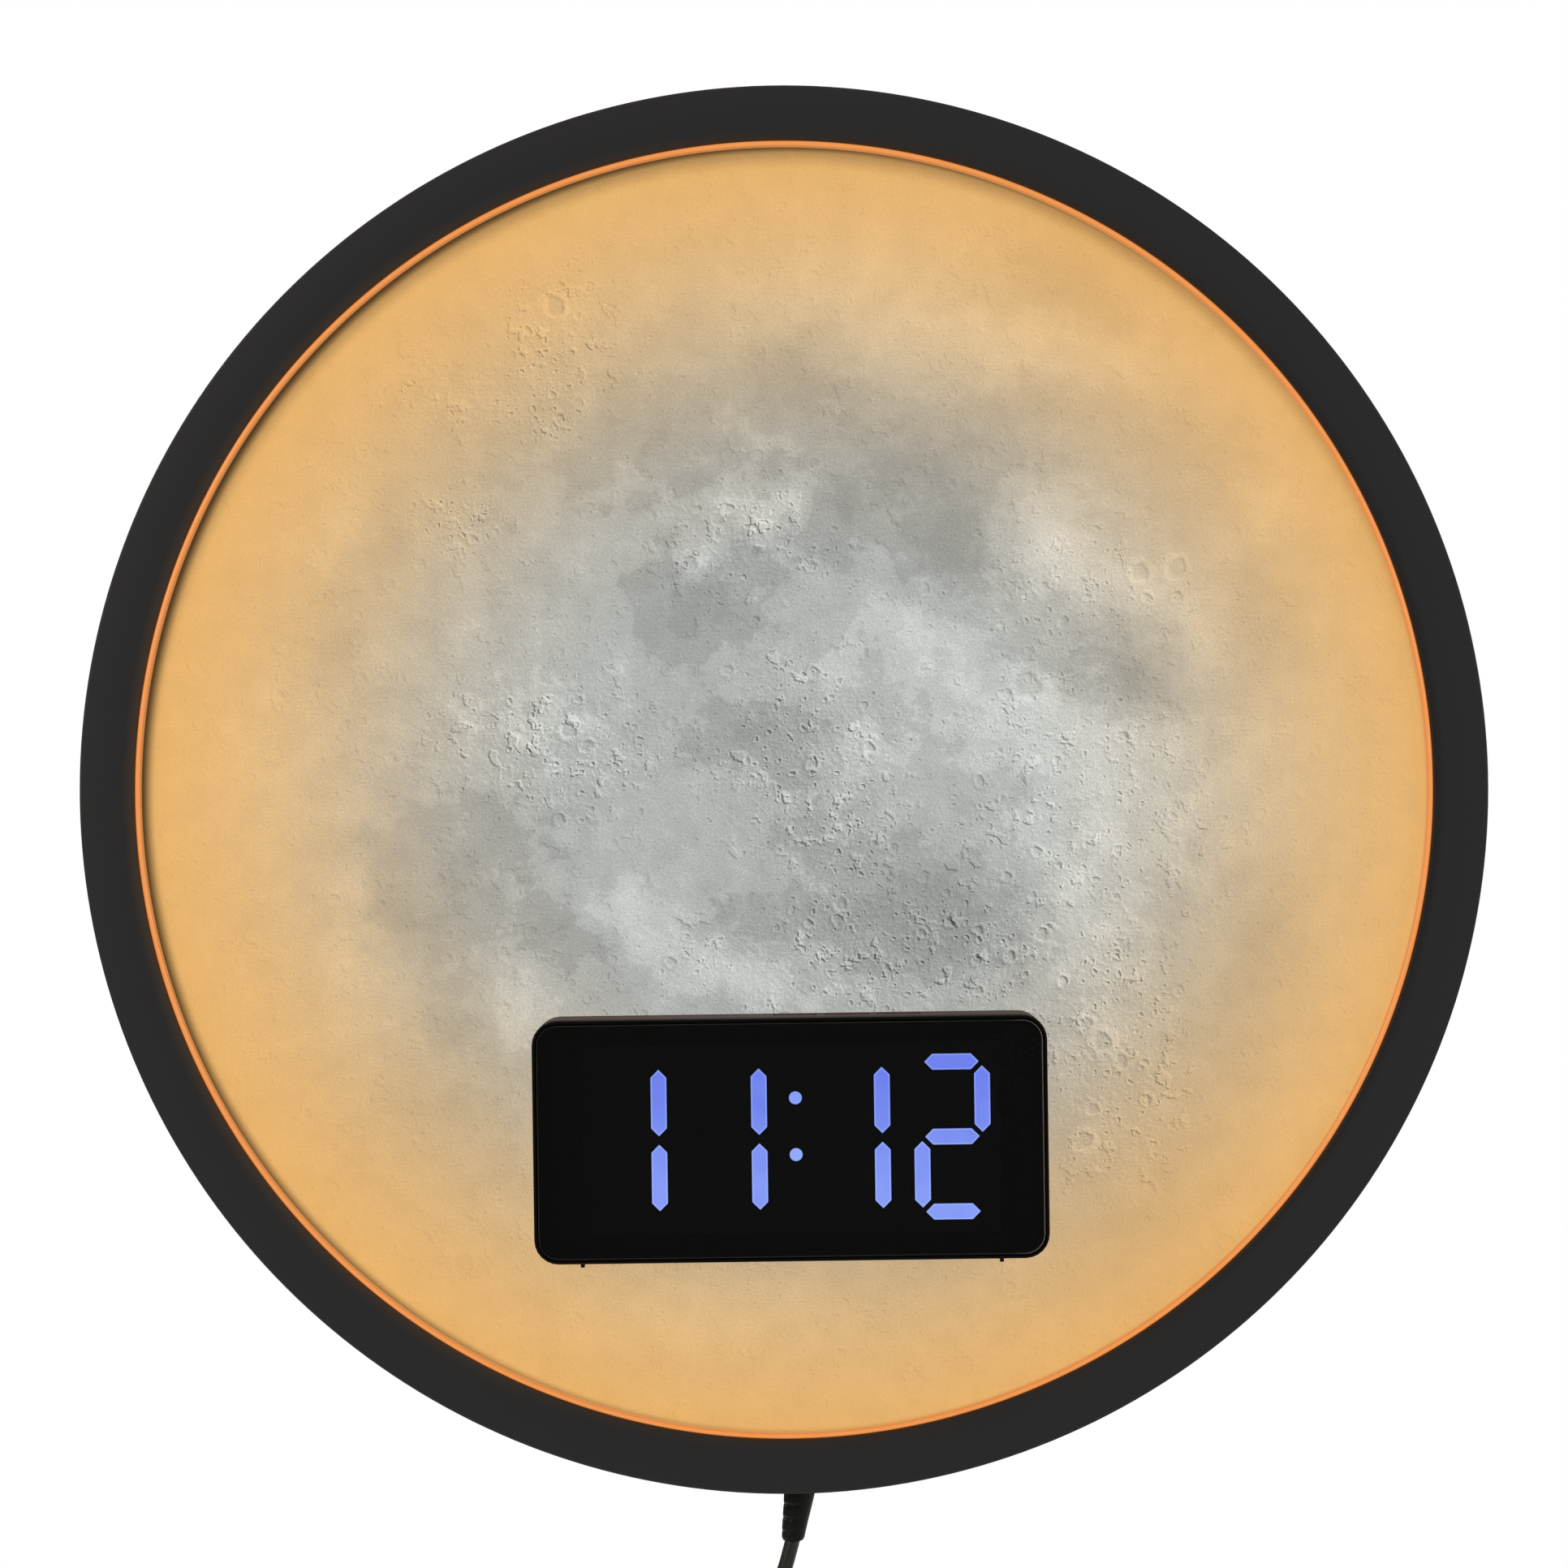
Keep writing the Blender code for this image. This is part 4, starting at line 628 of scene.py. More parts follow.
def cross_screw(name, node, place, back_y, length):
    """A countersunk screw with a cross recess, its head's face at back_y."""
    shape = bmesh.new()
    add_turned(
        shape,
        [
            (0.0, back_y), (head_radius - 0.0002, back_y), (head_radius, back_y - 0.00015),
            (head_radius, back_y - 0.0003), (shank_radius, back_y - head_height),
            (shank_radius, back_y - length + tip_length), (shank_radius / 2, back_y - length),
            (0.0, back_y - length),
        ],
        32, place,
    )
    screw = new_piece(name, shape, "zinc_steel", node)
    for level in (True, False):
        bar = bmesh.new()
        bmesh.ops.create_cube(bar, size=1.0)
        for corner in bar.verts:
            deep = corner.co.y < 0
            span = recess_span * (0.55 if deep else 1.0)
            corner.co.x = place[0] + corner.co.x * (span if level else recess_width)
            corner.co.z = place[1] + corner.co.z * (recess_width if level else span)
            corner.co.y = back_y + (-recess_depth if deep else 0.0004)
        apply_boolean(screw, bar, "DIFFERENCE")
    return screw


print("screw head, mm across:", round(2 * head_radius * 1000, 2))

# %% All eight screws
cover_screw_length = 0.0110
hanger_screw_length = 0.0060
screws = [
    cross_screw(f"cover_cross_screw_{i}", f"back_screw_{i}", place, 0.0, cover_screw_length)
    for i, place in enumerate(boss_places, 1)
]
for i in (1, 2):
    name, node = f"hanger_cross_screw_{i}", f"hanger_screw_{i}"
    low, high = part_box(node)
    middle = ((low.x + high.x) / 2, (low.z + high.z) / 2)
    screws.append(cross_screw(name, node, middle, high.y, hanger_screw_length))
print("screws:", len(screws))

# %% [markdown]
# ## The cord's strain relief
# Where the cord leaves the frame, a soft PVC sleeve is moulded over it. It has a flange inside the
# wall and a tapered tail with shallow ribs, so that it bends evenly instead of at one place. In the
# photo it leans a little to the left. It is lofted: rings of points along its bowed line.

# %% Lofted shapes


def add_loft(shape, rings):
    """Joins rings of points, all with the same count, into a closed skin with flat ends."""
    made = [[shape.verts.new(point) for point in ring] for ring in rings]
    count = len(made[0])
    for first, second in zip(made, made[1:]):
        for i in range(count):
            j = (i + 1) % count
            shape.faces.new((first[i], first[j], second[j], second[i]))
    shape.faces.new(made[0])
    shape.faces.new(made[-1])


# %% Strain relief
entry_x = relief_end.x + 0.00157
wall_z = -0.1469
relief_top_z = -0.1503
flange_radius = 0.0044
neck_radius = 0.0032
tail_top_radius, tail_end_radius = 0.0035, 0.0024
tail_rings = 72
ribs = 4
rib_depth = 0.00022
tip_rounding = 0.00030


def round_ring(x, z, radius, groove=0.0, count=48):
    """A level ring of points. A groove is cut into its front left side only."""
    ring = []
    for i in range(count):
        across, along = math.cos(2 * math.pi * i / count), math.sin(2 * math.pi * i / count)
        reach = radius - groove * max(0.0, -0.8 * across - 0.6 * along) ** 2
        ring.append(Vector((x + reach * across, relief_end.y + reach * along, z)))
    return ring


rings = [
    round_ring(entry_x, z, radius) for z, radius in (
        (wall_z + 0.0012, flange_radius - 0.0003), (wall_z + 0.0009, flange_radius),
        (wall_z + 0.0001, flange_radius), (wall_z, neck_radius),
        (relief_top_z, neck_radius), (relief_top_z - 0.0001, neck_radius + 0.0002),
    )
]
for index in range(1, tail_rings + 1):
    share = index / tail_rings
    eased = share * share * (3 - 2 * share)
    lean = share + (eased - share) * 0.35
    taper = tail_top_radius + (tail_end_radius - tail_top_radius) * share
    wave = max(0.0, math.cos(2 * math.pi * (ribs * share - 0.33))) ** 3
    groove = rib_depth * wave * (1.0 - share ** 6)
    tip = tip_rounding * max(0.0, (share - 0.93) / 0.07) ** 2
    rings.append(round_ring(
        entry_x + (relief_end.x - entry_x) * lean,
        relief_top_z + (relief_end.z - relief_top_z) * share, taper - tip, groove,
    ))
shape = bmesh.new()
add_loft(shape, rings)
relief_piece = new_piece("strain_relief_sleeve", shape, "black_rubber", "strain_relief", sharp=50.0)
print("strain relief under the frame, mm:", round((relief_top_z - relief_end.z) * 1000, 1))

# %% [markdown]
# ## The plug's grip
# The USB plug hangs under the coil. Its grip is PVC moulded over the steel shell: a rounded block
# with a short tail round the cord and low finger ribs on both faces. The shell's seat is cut out of
# its lower end, because the shell goes nearly 2 mm into it.

# %% The grip's rings
grip_low, grip_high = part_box("usb_grip")
shell_low, shell_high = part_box("usb_shell")
grip_x = (grip_low.x + grip_high.x) / 2
grip_y = (grip_low.y + grip_high.y) / 2
half_width = (grip_high.x - grip_low.x) / 2
half_depth = (grip_high.y - grip_low.y) / 2
print("grip height, mm:", round((grip_high.z - grip_low.z) * 1000, 1))


def rounded_ring(half_x, half_y, z, power, count=64):
    """A ring between an ellipse, at power 2, and a rectangle, at a high power."""
    ring = []
    for i in range(count):
        a = 2 * math.pi * i / count
        c, s = math.cos(a), math.sin(a)
        ring.append(Vector((
            grip_x + math.copysign(abs(c) ** (2 / power), c) * half_x,
            grip_y + math.copysign(abs(s) ** (2 / power), s) * half_y, z,
        )))
    return ring


# %% Plug grip
tail_length = 0.0060
shoulder_height = 0.0022
shoulder_z = grip_high.z - tail_length
body_top = shoulder_z - shoulder_height
body_foot = grip_low.z + 0.0008
block_power = 5.0
grip_tail_top, grip_tail_end = 0.0035, 0.0026
finger_rib_depth = 0.00028
tail_rib_depth = 0.0003
rings = [
    rounded_ring(half_width - 0.0006, half_depth - 0.0006, grip_low.z, block_power),
    rounded_ring(half_width - 0.0002, half_depth - 0.0002, grip_low.z + 0.0002, block_power),
    rounded_ring(half_width, half_depth, body_foot, block_power),
]
for index in range(1, 61):
    share = index / 60
    ribbed = 1.0 if 0.25 < share < 0.85 else 0.0
    groove = finger_rib_depth * ribbed * max(0.0, math.sin(2 * math.pi * 10 * share)) ** 2
    z = body_foot + (body_top - body_foot) * share
    rings.append(rounded_ring(half_width - groove * 0.6, half_depth - groove, z, block_power))
for index in range(1, 11):
    share = index / 10
    drop = 1 - math.sqrt(1 - share * share)
    rings.append(rounded_ring(
        half_width + (grip_tail_top - half_width) * drop,
        half_depth + (grip_tail_top - half_depth) * drop,
        body_top + shoulder_height * share, block_power + (2.0 - block_power) * share,
    ))
for index in range(1, 21):
    share = index / 20
    groove = tail_rib_depth * max(0.0, math.sin(2 * math.pi * 3 * share)) ** 2
    radius = grip_tail_top + (grip_tail_end - grip_tail_top) * share - groove
    rings.append(rounded_ring(radius, radius, shoulder_z + tail_length * share, 2.0))
shape = bmesh.new()
add_loft(shape, rings)
grip_piece = new_piece("plug_grip", shape, "black_rubber", "usb_grip", sharp=50.0)
print("grip rings:", len(rings))

# %% The shell's seat
seat_room = 0.0003
seat = bmesh.new()
bmesh.ops.create_cube(seat, size=1.0)
seat_low = Vector((shell_low.x - seat_room, shell_low.y - seat_room, grip_low.z - 0.0010))
seat_high = shell_high + Vector((seat_room, seat_room, seat_room))
for corner in seat.verts:
    for axis in range(3):
        corner.co[axis] = seat_high[axis] if corner.co[axis] > 0 else seat_low[axis]
apply_boolean(grip_piece, seat, "DIFFERENCE")
print("shell goes into the grip, mm:", round((shell_high.z - grip_low.z) * 1000, 1))

# %% [markdown]
# ## Finish: spark-textured charcoal ABS
# The frame is moulded in a tool whose face was spark-eroded, which leaves a grain of nearly half a
# millimetre. It scatters light, so the face looks even and matt. The lit bead's light on nearly 3 mm
# of the plastic beside it is painted into its colour, with a soft end: a painted warm brown glow on
# the left, and on the right, where the bead throws less light, a painted shade that is darker than
# the frame. Distance from the clock's axis drives it.

# %% Frame finish
grain_mm = 0.45
painted_haze_start, painted_haze_end = 138.4, 141.2
charcoal = new_finish("abs_spark_textured_charcoal", "#1C1C1E", 0.66, IOR=1.53)
spot = in_millimetres(charcoal)
front = face_on(charcoal, spot)
radius = add(charcoal, "VectorMath", {0: front}, operation="LENGTH").outputs["Value"]
grain = add(charcoal, "TexNoise", {"Vector": spot, "Scale": 1 / grain_mm, "Detail": 2.0})
tone = add(
    charcoal, "Mix", {"Factor": grain, "A": linear("#1A1A1C"), "B": linear("#1F1F21")},
    data_type="RGBA",
)
# Painted light from the lit bead: a warm glow on the left side, a shade on the right.
sideways = add(charcoal, "SeparateXYZ", {0: front}).outputs["X"]
leftness = add(charcoal, "MapRange", {"Value": sideways, "From Min": 138.0, "From Max": -138.0})
painted_glow_and_shade = add(
    charcoal, "Mix", {"Factor": leftness, "A": linear("#070302"), "B": linear("#3E2E1D")},
    data_type="RGBA",
)
# How much of the painted glow and shade shows, fading outwards from the opening.
haze = add(
    charcoal, "MapRange", {"Value": radius, "From Min": painted_haze_end, "From Max": painted_haze_start},
    interpolation_type="SMOOTHSTEP",
)
tone_with_painted_haze = add(charcoal, "Mix", {"Factor": haze, "A": tone, "B": painted_glow_and_shade}, data_type="RGBA")
feed(charcoal, "Base Color", tone_with_painted_haze)
pits = add(charcoal, "Bump", {"Height": grain, "Strength": 0.35, "Distance": 0.00003})
feed(charcoal, "Normal", pits)
print("warm haze on the frame, mm wide:", round(painted_haze_end - opening_radius * 1000, 2))

# %% [markdown]
# ## Finish: clear acrylic, lit from behind
# The bead carries the strip's warm light round the disc. It gives off its own light here, with a
# brighter middle and darker edges, as a rounded rod does.

# %% Bead finish
amber = new_finish("pmma_bead_lit_amber", "#6A3412", 0.30, IOR=1.49)
spot = in_millimetres(amber)
radius = add(amber, "VectorMath", {0: face_on(amber, spot)}, operation="LENGTH").outputs["Value"]
across = add(amber, "Math", {0: radius, 1: bead_radius * 1000}, operation="SUBTRACT")
off_middle = add(amber, "Math", {0: across}, operation="ABSOLUTE")
edge_share = add(
    amber, "MapRange", {"Value": off_middle, "From Min": 0.25, "From Max": 0.52},
    interpolation_type="SMOOTHSTEP",
)
bubbles = add(amber, "TexNoise", {"Vector": spot, "Scale": 1 / 6.0, "Detail": 3.0})
core = add(
    amber, "Mix", {"Factor": bubbles, "A": linear("#E58D48"), "B": linear("#EC9854")},
    data_type="RGBA",
)
glow = add(
    amber, "Mix", {"Factor": edge_share, "A": core, "B": linear("#B9783F")}, data_type="RGBA",
)
feed(amber, "Emission Color", glow)
surface_of(amber).inputs["Emission Strength"].default_value = 1.0
print("bead's nose, mm wide:", round(2 * bead_half_width * 1000, 2))

# %% [markdown]
# ## Finish: the printed moon
# The disc is opal acrylic with a satin print of the full moon, lit from its rim. A print is ink, and
# ink densities add up, so each layer below is a density and one exponential turns their sum into
# light: the dark seas and bright uplands with ragged coasts, the shaded relief of hills and craters,
# and a fine grain. That light scales a painted glow, a radial colour from grey in the middle to amber
# at the rim, which stands for the strip's light falling off inwards. The relief is drawn as an
# engraver would do it: a height field, and at each spot the drop towards the light at the upper
# right. Seas, uplands and the largest rings are given as soft ovals in millimetres from the disc's
# middle, and a noise warps them so that no oval shows. The same noise warps the painted glow by less
# than half as much.

# %% Moon print: place, warp and the painted glow
coast_warp = (17.0, 17.0, 0.0)
painted_glow_warp = (7.0, 7.0, 0.0)
painted_glow_middle = (3.5, -1.0, 0.0)
painted_glow_radius = 140.0
moon = new_finish("opal_pmma_satin_moon_print", "#B2B5B2", 0.55, IOR=1.49)
spot = face_on(moon, in_millimetres(moon))
from_axis = add(moon, "VectorMath", {0: spot}, operation="LENGTH").outputs["Value"]
swirl = add(moon, "TexNoise", {"Vector": spot, "Scale": 1 / 11, "Detail": 8.0, "Roughness": 0.80})
swing = add(
    moon, "VectorMath", {0: swirl.outputs["Color"], 1: (-0.5, -0.5, -0.5)}, operation="ADD",
)
ragged = add(moon, "VectorMath", {0: swing, 1: coast_warp, 2: spot}, operation="MULTIPLY_ADD")
painted_glow_place = add(moon, "VectorMath", {0: swing, 1: painted_glow_warp, 2: spot}, operation="MULTIPLY_ADD")
painted_glow_from = add(moon, "VectorMath", {0: painted_glow_place, 1: painted_glow_middle}, operation="DISTANCE")
# Painted glow of the strip's light: grey in the middle, amber at the rim.
painted_glow_share = add(
    moon, "MapRange",
    {"Value": painted_glow_from.outputs["Value"], "From Min": 0.0, "From Max": painted_glow_radius},
)
painted_glow = add(moon, "ValToRGB", {0: painted_glow_share})
painted_glow_stops = [
    (0.37, "#B1B4B1"), (0.46, "#B4B3AC"), (0.54, "#B9B4A7"), (0.63, "#C3B49B"), (0.71, "#CEB58F"),
    (0.80, "#D9B582"), (0.88, "#E1B476"), (0.97, "#E6B36B"),
]
fill_ramp(painted_glow, [(share, linear(colour)) for share, colour in painted_glow_stops])
print("tints from grey to amber:", len(painted_glow_stops))

# %% [markdown]
# Seas and uplands are lists of ovals. Each has its middle, its half sizes, its turn in degrees and
# its weight. A noise of 8 mm adds the mottle that lies over all of them.

# %% Moon print: seas and uplands


def soft_oval(place, centre, half_sizes, turn=0.0):
    """One at the oval's centre, falling evenly to nothing at its edge."""
    inside = add(
        moon, "Mapping",
        {"Vector": place, "Location": (*centre, 0.0), "Rotation": (0.0, 0.0, math.radians(turn)),
         "Scale": (*half_sizes, 1.0)},
        vector_type="TEXTURE",
    )
    return add(moon, "TexGradient", {"Vector": inside}, gradient_type="SPHERICAL").outputs["Fac"]


seas = [
    ((4, 88), (18, 15), -20, 1.3), ((28, 70), (32, 19), -8, 1.4), ((38, 50), (17, 17), -30, 1.5),
    ((-19, 40), (22, 20), 0, 1.25), ((-24, 78), (32, 26), 0, 0.9), ((-64, 74), (36, 34), 0, 0.55),
    ((8, 56), (26, 16), 0, 0.7), ((73, 25), (17, 15), -20, 1.3), ((-3, 12), (20, 13), 0, 1.0),
    ((6, -6), (18, 14), 0, 0.6), ((30, -26), (34, 19), -5, 1.7), ((-6, -27), (18, 9), -10, 0.8),
    ((-72, -14), (36, 22), 8, 0.9), ((-74, -30), (24, 14), -10, 0.7), ((-46, -32), (18, 12), 0, 0.9),
    ((-67, -47), (12, 12), 0, 1.2), ((-80, -68), (30, 26), 0, 0.6), ((61, 109), (24, 13), -20, 1.1),
    ((56, 81), (26, 15), 0, 0.8), ((86, 72), (22, 18), 0, 0.75), ((103, 36), (12, 20), 0, 0.6),
    ((-87, 52), (9, 14), -15, 0.7), ((-98, 30), (9, 20), -10, 0.8), ((103, -31), (14, 18), 0, 0.8),
    ((94, -58), (18, 40), -22, 1.0), ((76, -92), (28, 20), 15, 0.7), ((-20, 13), (18, 12), 0, 0.5),
]
uplands = [
    ((56, 53), (18, 17), 0, 1.5), ((76, 43), (30, 13), -22, 1.1), ((31, 32), (22, 15), -20, 1.2),
    ((56, 14), (36, 16), -6, 1.5), ((17, 8), (13, 12), 0, 0.9), ((74, -4), (30, 20), 0, 1.1),
    ((60, -20), (20, 24), 0, 0.9), ((68, -40), (16, 26), 0, 0.6), ((-32, -27), (14, 10), -35, 1.6),
    ((-12, -39), (30, 8), -12, 1.3), ((-58, -45), (13, 14), 0, 1.4), ((-52, 18), (30, 22), 0, 0.55),
    ((-18, 50), (7, 6), 0, 1.3), ((-6, 60), (18, 8), 10, 1.4), ((54, 93), (40, 11), -8, 1.1),
    ((18, 108), (38, 22), 0, 0.8), ((-95, 55), (12, 15), -15, 0.7), ((-93, -36), (8, 34), 5, 0.9),
    ((-14, -111), (40, 13), 0, 0.8), ((104, 63), (10, 12), 0, 0.8), ((-112, 4), (28, 34), 0, 0.5),
    ((104, 6), (26, 26), 0, 0.6), ((88, 30), (8, 16), 10, 0.6), ((9, 25), (18, 10), 0, 0.6),
]
mottle = add(moon, "TexNoise", {"Vector": spot, "Scale": 1 / 8, "Detail": 8.0, "Roughness": 0.64})
mottle_swing = add(moon, "MapRange", {"Value": mottle, "To Min": -1.0, "To Max": 1.0})
level = mottle_swing.outputs["Result"]
for places, sign in ((seas, -1.0), (uplands, 1.0)):
    for centre, half_sizes, turn, weight in places:
        soft = soft_oval(ragged, centre, half_sizes, turn)
        level = add(moon, "Math", {0: soft, 1: sign * weight, 2: level}, operation="MULTIPLY_ADD")
        level = level.outputs["Value"]
print("seas and uplands:", len(seas) + len(uplands))

# %% [markdown]
# A ramp with nearly level shelves and short steep steps between them turns the summed level into
# ink, so that the coasts are crisp. The photo shows such coasts in the middle only. From 62 mm
# outwards the steps and the mottle give way to the plain level, which is a smooth haze.

# %% Moon print: coasts and haze
level_span = 1.3
level_share = add(
    moon, "MapRange", {"Value": level, "From Min": -level_span, "From Max": level_span},
)
lands = add(moon, "ValToRGB", {0: level_share})
terraces = [
    (-1.30, -0.33), (-0.93, -0.29), (-0.86, -0.22), (-0.43, -0.18), (-0.37, -0.06), (0.0, 0.0),
    (0.37, 0.05), (0.43, 0.16), (0.86, 0.19), (0.93, 0.25), (1.30, 0.29),
]
fill_ramp(lands, [
    ((height + level_span) / (2 * level_span), (ink + 0.5, ink + 0.5, ink + 0.5, 1.0))
    for height, ink in terraces
])
crisp_radius = 62.0
lands = add(moon, "Math", {0: lands, 1: 0.5}, operation="SUBTRACT")
smooth_lands = add(moon, "Math", {0: level, 1: 0.20}, operation="MULTIPLY")
outwards = add(
    moon, "MapRange", {"Value": from_axis, "From Min": crisp_radius, "From Max": 100.0},
)
lands = add(moon, "Mix", {"Factor": outwards, "A": lands, "B": smooth_lands})
mottle_share = add(
    moon, "MapRange",
    {"Value": from_axis, "From Min": crisp_radius, "From Max": 112.0, "To Min": 0.16,
     "To Max": 0.05},
)
mottled = add(moon, "Math", {0: mottle_swing, 1: mottle_share}, operation="MULTIPLY")
lands = add(moon, "Math", {0: lands, 1: mottled}, operation="ADD")
land_gain = add(
    moon, "MapRange",
    {"Value": from_axis, "From Min": 70.0, "From Max": 130.0, "To Min": 1.0, "To Max": 0.40},
)
print("shelves:", len(terraces) // 2 + 1)

# %% [markdown]
# Real craters are alike at every size: a flat floor, a steep wall, a raised rim and a gentle slope
# outside it. A ramp holds that profile as a share of the crater's reach, which is 1.6 times the
# radius of its rim. The same profile serves both ways round, because a soft oval counts from the
# edge inwards and a distance counts from the middle outwards.

# %% Moon print: one crater
ground_level = 0.70
crater_profile = [(0.0, 0.0), (0.34, 0.06), (0.58, 0.96), (0.64, 1.0), (1.0, ground_level)]
profile_reach = 1.6


def crater_height(share, from_middle):
    """A crater's height at a share of its reach, with the ground around it at nothing."""
    ramp = add(moon, "ValToRGB", {0: share})
    ramp.color_ramp.interpolation = "EASE"
    points = crater_profile
    if not from_middle:
        points = [(1 - place, height) for place, height in reversed(crater_profile)]
    fill_ramp(ramp, [(place, (height, height, height, 1.0)) for place, height in points])
    return add(moon, "Math", {0: ramp, 1: ground_level}, operation="SUBTRACT")


# %% [markdown]
# A pattern of uneven cells scatters the small craters. Each cell's own random colour says whether it
# holds a crater and how large that is, mostly small. A slow noise crowds them together in places.

# %% Moon print: scattered craters


def scattered(place, cell_mm, least_mm, most_mm, share, shift):
    """Heights of scattered craters in millimetres, and where their floors are."""
    moved = add(moon, "VectorMath", {0: place, 1: (shift, -shift, 0.0)}, operation="ADD")
    cells = add(
        moon, "TexVoronoi", {"Vector": moved, "Scale": 1 / cell_mm, "Randomness": 0.90},
        voronoi_dimensions="2D",
    )
    middle = cells.outputs["Position"]
    chance = add(moon, "SeparateXYZ", {0: cells.outputs["Color"]})
    mostly_small = add(moon, "Math", {0: chance.outputs["X"], 1: 2.2}, operation="POWER")
    size = add(
        moon, "MapRange", {"Value": mostly_small, "To Min": least_mm, "To Max": most_mm},
    )
    away = add(moon, "VectorMath", {0: moved, 1: middle}, operation="DISTANCE").outputs["Value"]
    radii = add(moon, "Math", {0: away, 1: size}, operation="DIVIDE")
    reach_share = add(moon, "Math", {0: radii, 1: 1 / profile_reach}, operation="MULTIPLY")
    profile = crater_height(reach_share, from_middle=True)
    crowd = add(moon, "TexNoise", {"Vector": middle, "Scale": 1 / 17, "Detail": 1.0})
    limit = add(
        moon, "MapRange",
        {"Value": crowd, "From Min": 0.40, "From Max": 0.58, "To Min": 0.12 * share, "To Max": share},
    )
    there = add(moon, "Math", {0: chance.outputs["Y"], 1: limit}, operation="LESS_THAN")
    height = add(moon, "Math", {0: profile, 1: size}, operation="MULTIPLY")
    height = add(moon, "Math", {0: height, 1: there}, operation="MULTIPLY")
    floor_share = add(moon, "MapRange", {"Value": radii, "From Min": 1.1, "From Max": 0.2})
    floor_share = add(moon, "Math", {0: floor_share, 1: there}, operation="MULTIPLY")
    return height, floor_share


# %% [markdown]
# The ground adds up rough hills 3 mm across, folds, massifs and craters. Folds are a noise mirrored
# at its middle, which leaves sharp valleys about 2 mm apart. Massifs are blocks of some 4 mm with
# flat tops, cut out of a noise where it is high and crowded together by a slow one. The craters come
# in three sizes of cell, and the largest rings are listed one by one. Crater floors print a little
# darker than the ground and massifs a little paler, and the large rings have pale rims.

# %% Moon print: the ground
large_rings = [
    ((51.9, 22.2), 3.6), ((76.0, 46.5), 2.3), ((83.8, 47.2), 2.6), ((-20.1, 48.6), 1.8),
    ((-49.0, 103.2), 2.5), ((12.0, -24.2), 1.6), ((-46.0, 13.0), 2.0), ((-42.0, 9.5), 1.6),
    ((55.0, -31.0), 1.5), ((64.0, -75.0), 2.4), ((68.0, -54.0), 2.6), ((64.5, -50.0), 1.8),
    ((72.0, -58.0), 1.7), ((66.0, -68.0), 1.5), ((6.5, 70.0), 1.3), ((30.0, 26.5), 1.4),
]
# Cell, least radius, most radius, share of cells with a crater, depth, and shift of the pattern.
crater_fields = [
    (21.0, 1.0, 2.9, 0.45, 0.14, 3.0),
    (6.0, 0.45, 1.5, 0.75, 0.36, 11.0),
    (2.5, 0.26, 0.70, 0.95, 0.70, 23.0),
]
# Heights in millimetres for a full swing of each pattern, and a ring's for a millimetre of radius.
hill_rise, fold_rise, massif_rise, ring_rise = 0.30, 0.52, 0.46, 0.15
massif_dullness = -0.7
darkest_rim = -0.15


def ground_height(place):
    """The ground's height in millimetres, its dullness and its pale rims."""
    hills = add(
        moon, "TexNoise", {"Vector": place, "Scale": 1 / 3.0, "Detail": 5.0, "Roughness": 0.82},
    )
    total = add(moon, "Math", {0: hills, 1: hill_rise}, operation="MULTIPLY")
    folds = add(
        moon, "TexNoise", {"Vector": place, "Scale": 1 / 2.3, "Detail": 2.0, "Roughness": 0.6},
    )
    folds = add(moon, "Math", {0: folds, 1: 0.5}, operation="SUBTRACT")
    folds = add(moon, "Math", {0: folds}, operation="ABSOLUTE")
    total = add(moon, "Math", {0: folds, 1: fold_rise, 2: total}, operation="MULTIPLY_ADD")
    bent = add(moon, "TexNoise", {"Vector": place, "Scale": 1 / 2.6, "Detail": 2.0})
    bent = add(
        moon, "VectorMath", {0: bent.outputs["Color"], 1: (-0.5, -0.5, -0.5)}, operation="ADD",
    )
    uneven = add(
        moon, "VectorMath", {0: bent, 1: (2.3, 2.3, 0.0), 2: place}, operation="MULTIPLY_ADD",
    )
    massifs = add(
        moon, "TexNoise", {"Vector": uneven, "Scale": 1 / 4.2, "Detail": 3.0, "Roughness": 0.62},
    )
    massifs = add(moon, "MapRange", {"Value": massifs, "From Min": 0.575, "From Max": 0.62})
    crowd = add(moon, "TexNoise", {"Vector": place, "Scale": 1 / 15, "Detail": 1.0})
    crowd = add(moon, "MapRange", {"Value": crowd, "From Min": 0.44, "From Max": 0.56})
    massifs = add(moon, "Math", {0: massifs, 1: crowd}, operation="MULTIPLY")
    total = add(moon, "Math", {0: massifs, 1: massif_rise, 2: total}, operation="MULTIPLY_ADD")
    dull = add(moon, "Math", {0: massifs, 1: massif_dullness}, operation="MULTIPLY")
    for cell, least, most, share, depth, shift in crater_fields:
        height, floor_share = scattered(uneven, cell, least, most, share, shift)
        total = add(moon, "Math", {0: height, 1: depth, 2: total}, operation="MULTIPLY_ADD")
        dull = add(moon, "Math", {0: floor_share, 1: depth, 2: dull}, operation="MULTIPLY_ADD")
    rims = 0.0
    for centre, radius in large_rings:
        reach = radius * profile_reach
        profile = crater_height(soft_oval(uneven, centre, (reach, reach)), from_middle=False)
        rise = ring_rise * radius
        total = add(moon, "Math", {0: profile, 1: rise, 2: total}, operation="MULTIPLY_ADD")
        pale_rim = add(moon, "Math", {0: profile, 1: darkest_rim}, operation="MAXIMUM")
        rims = add(moon, "Math", {0: pale_rim, 1: rims}, operation="ADD")
    return total, dull, rims


# %% [markdown]
# The slope towards the light is the ground's drop over a third of a millimetre: its height here less
# its height a step ahead.

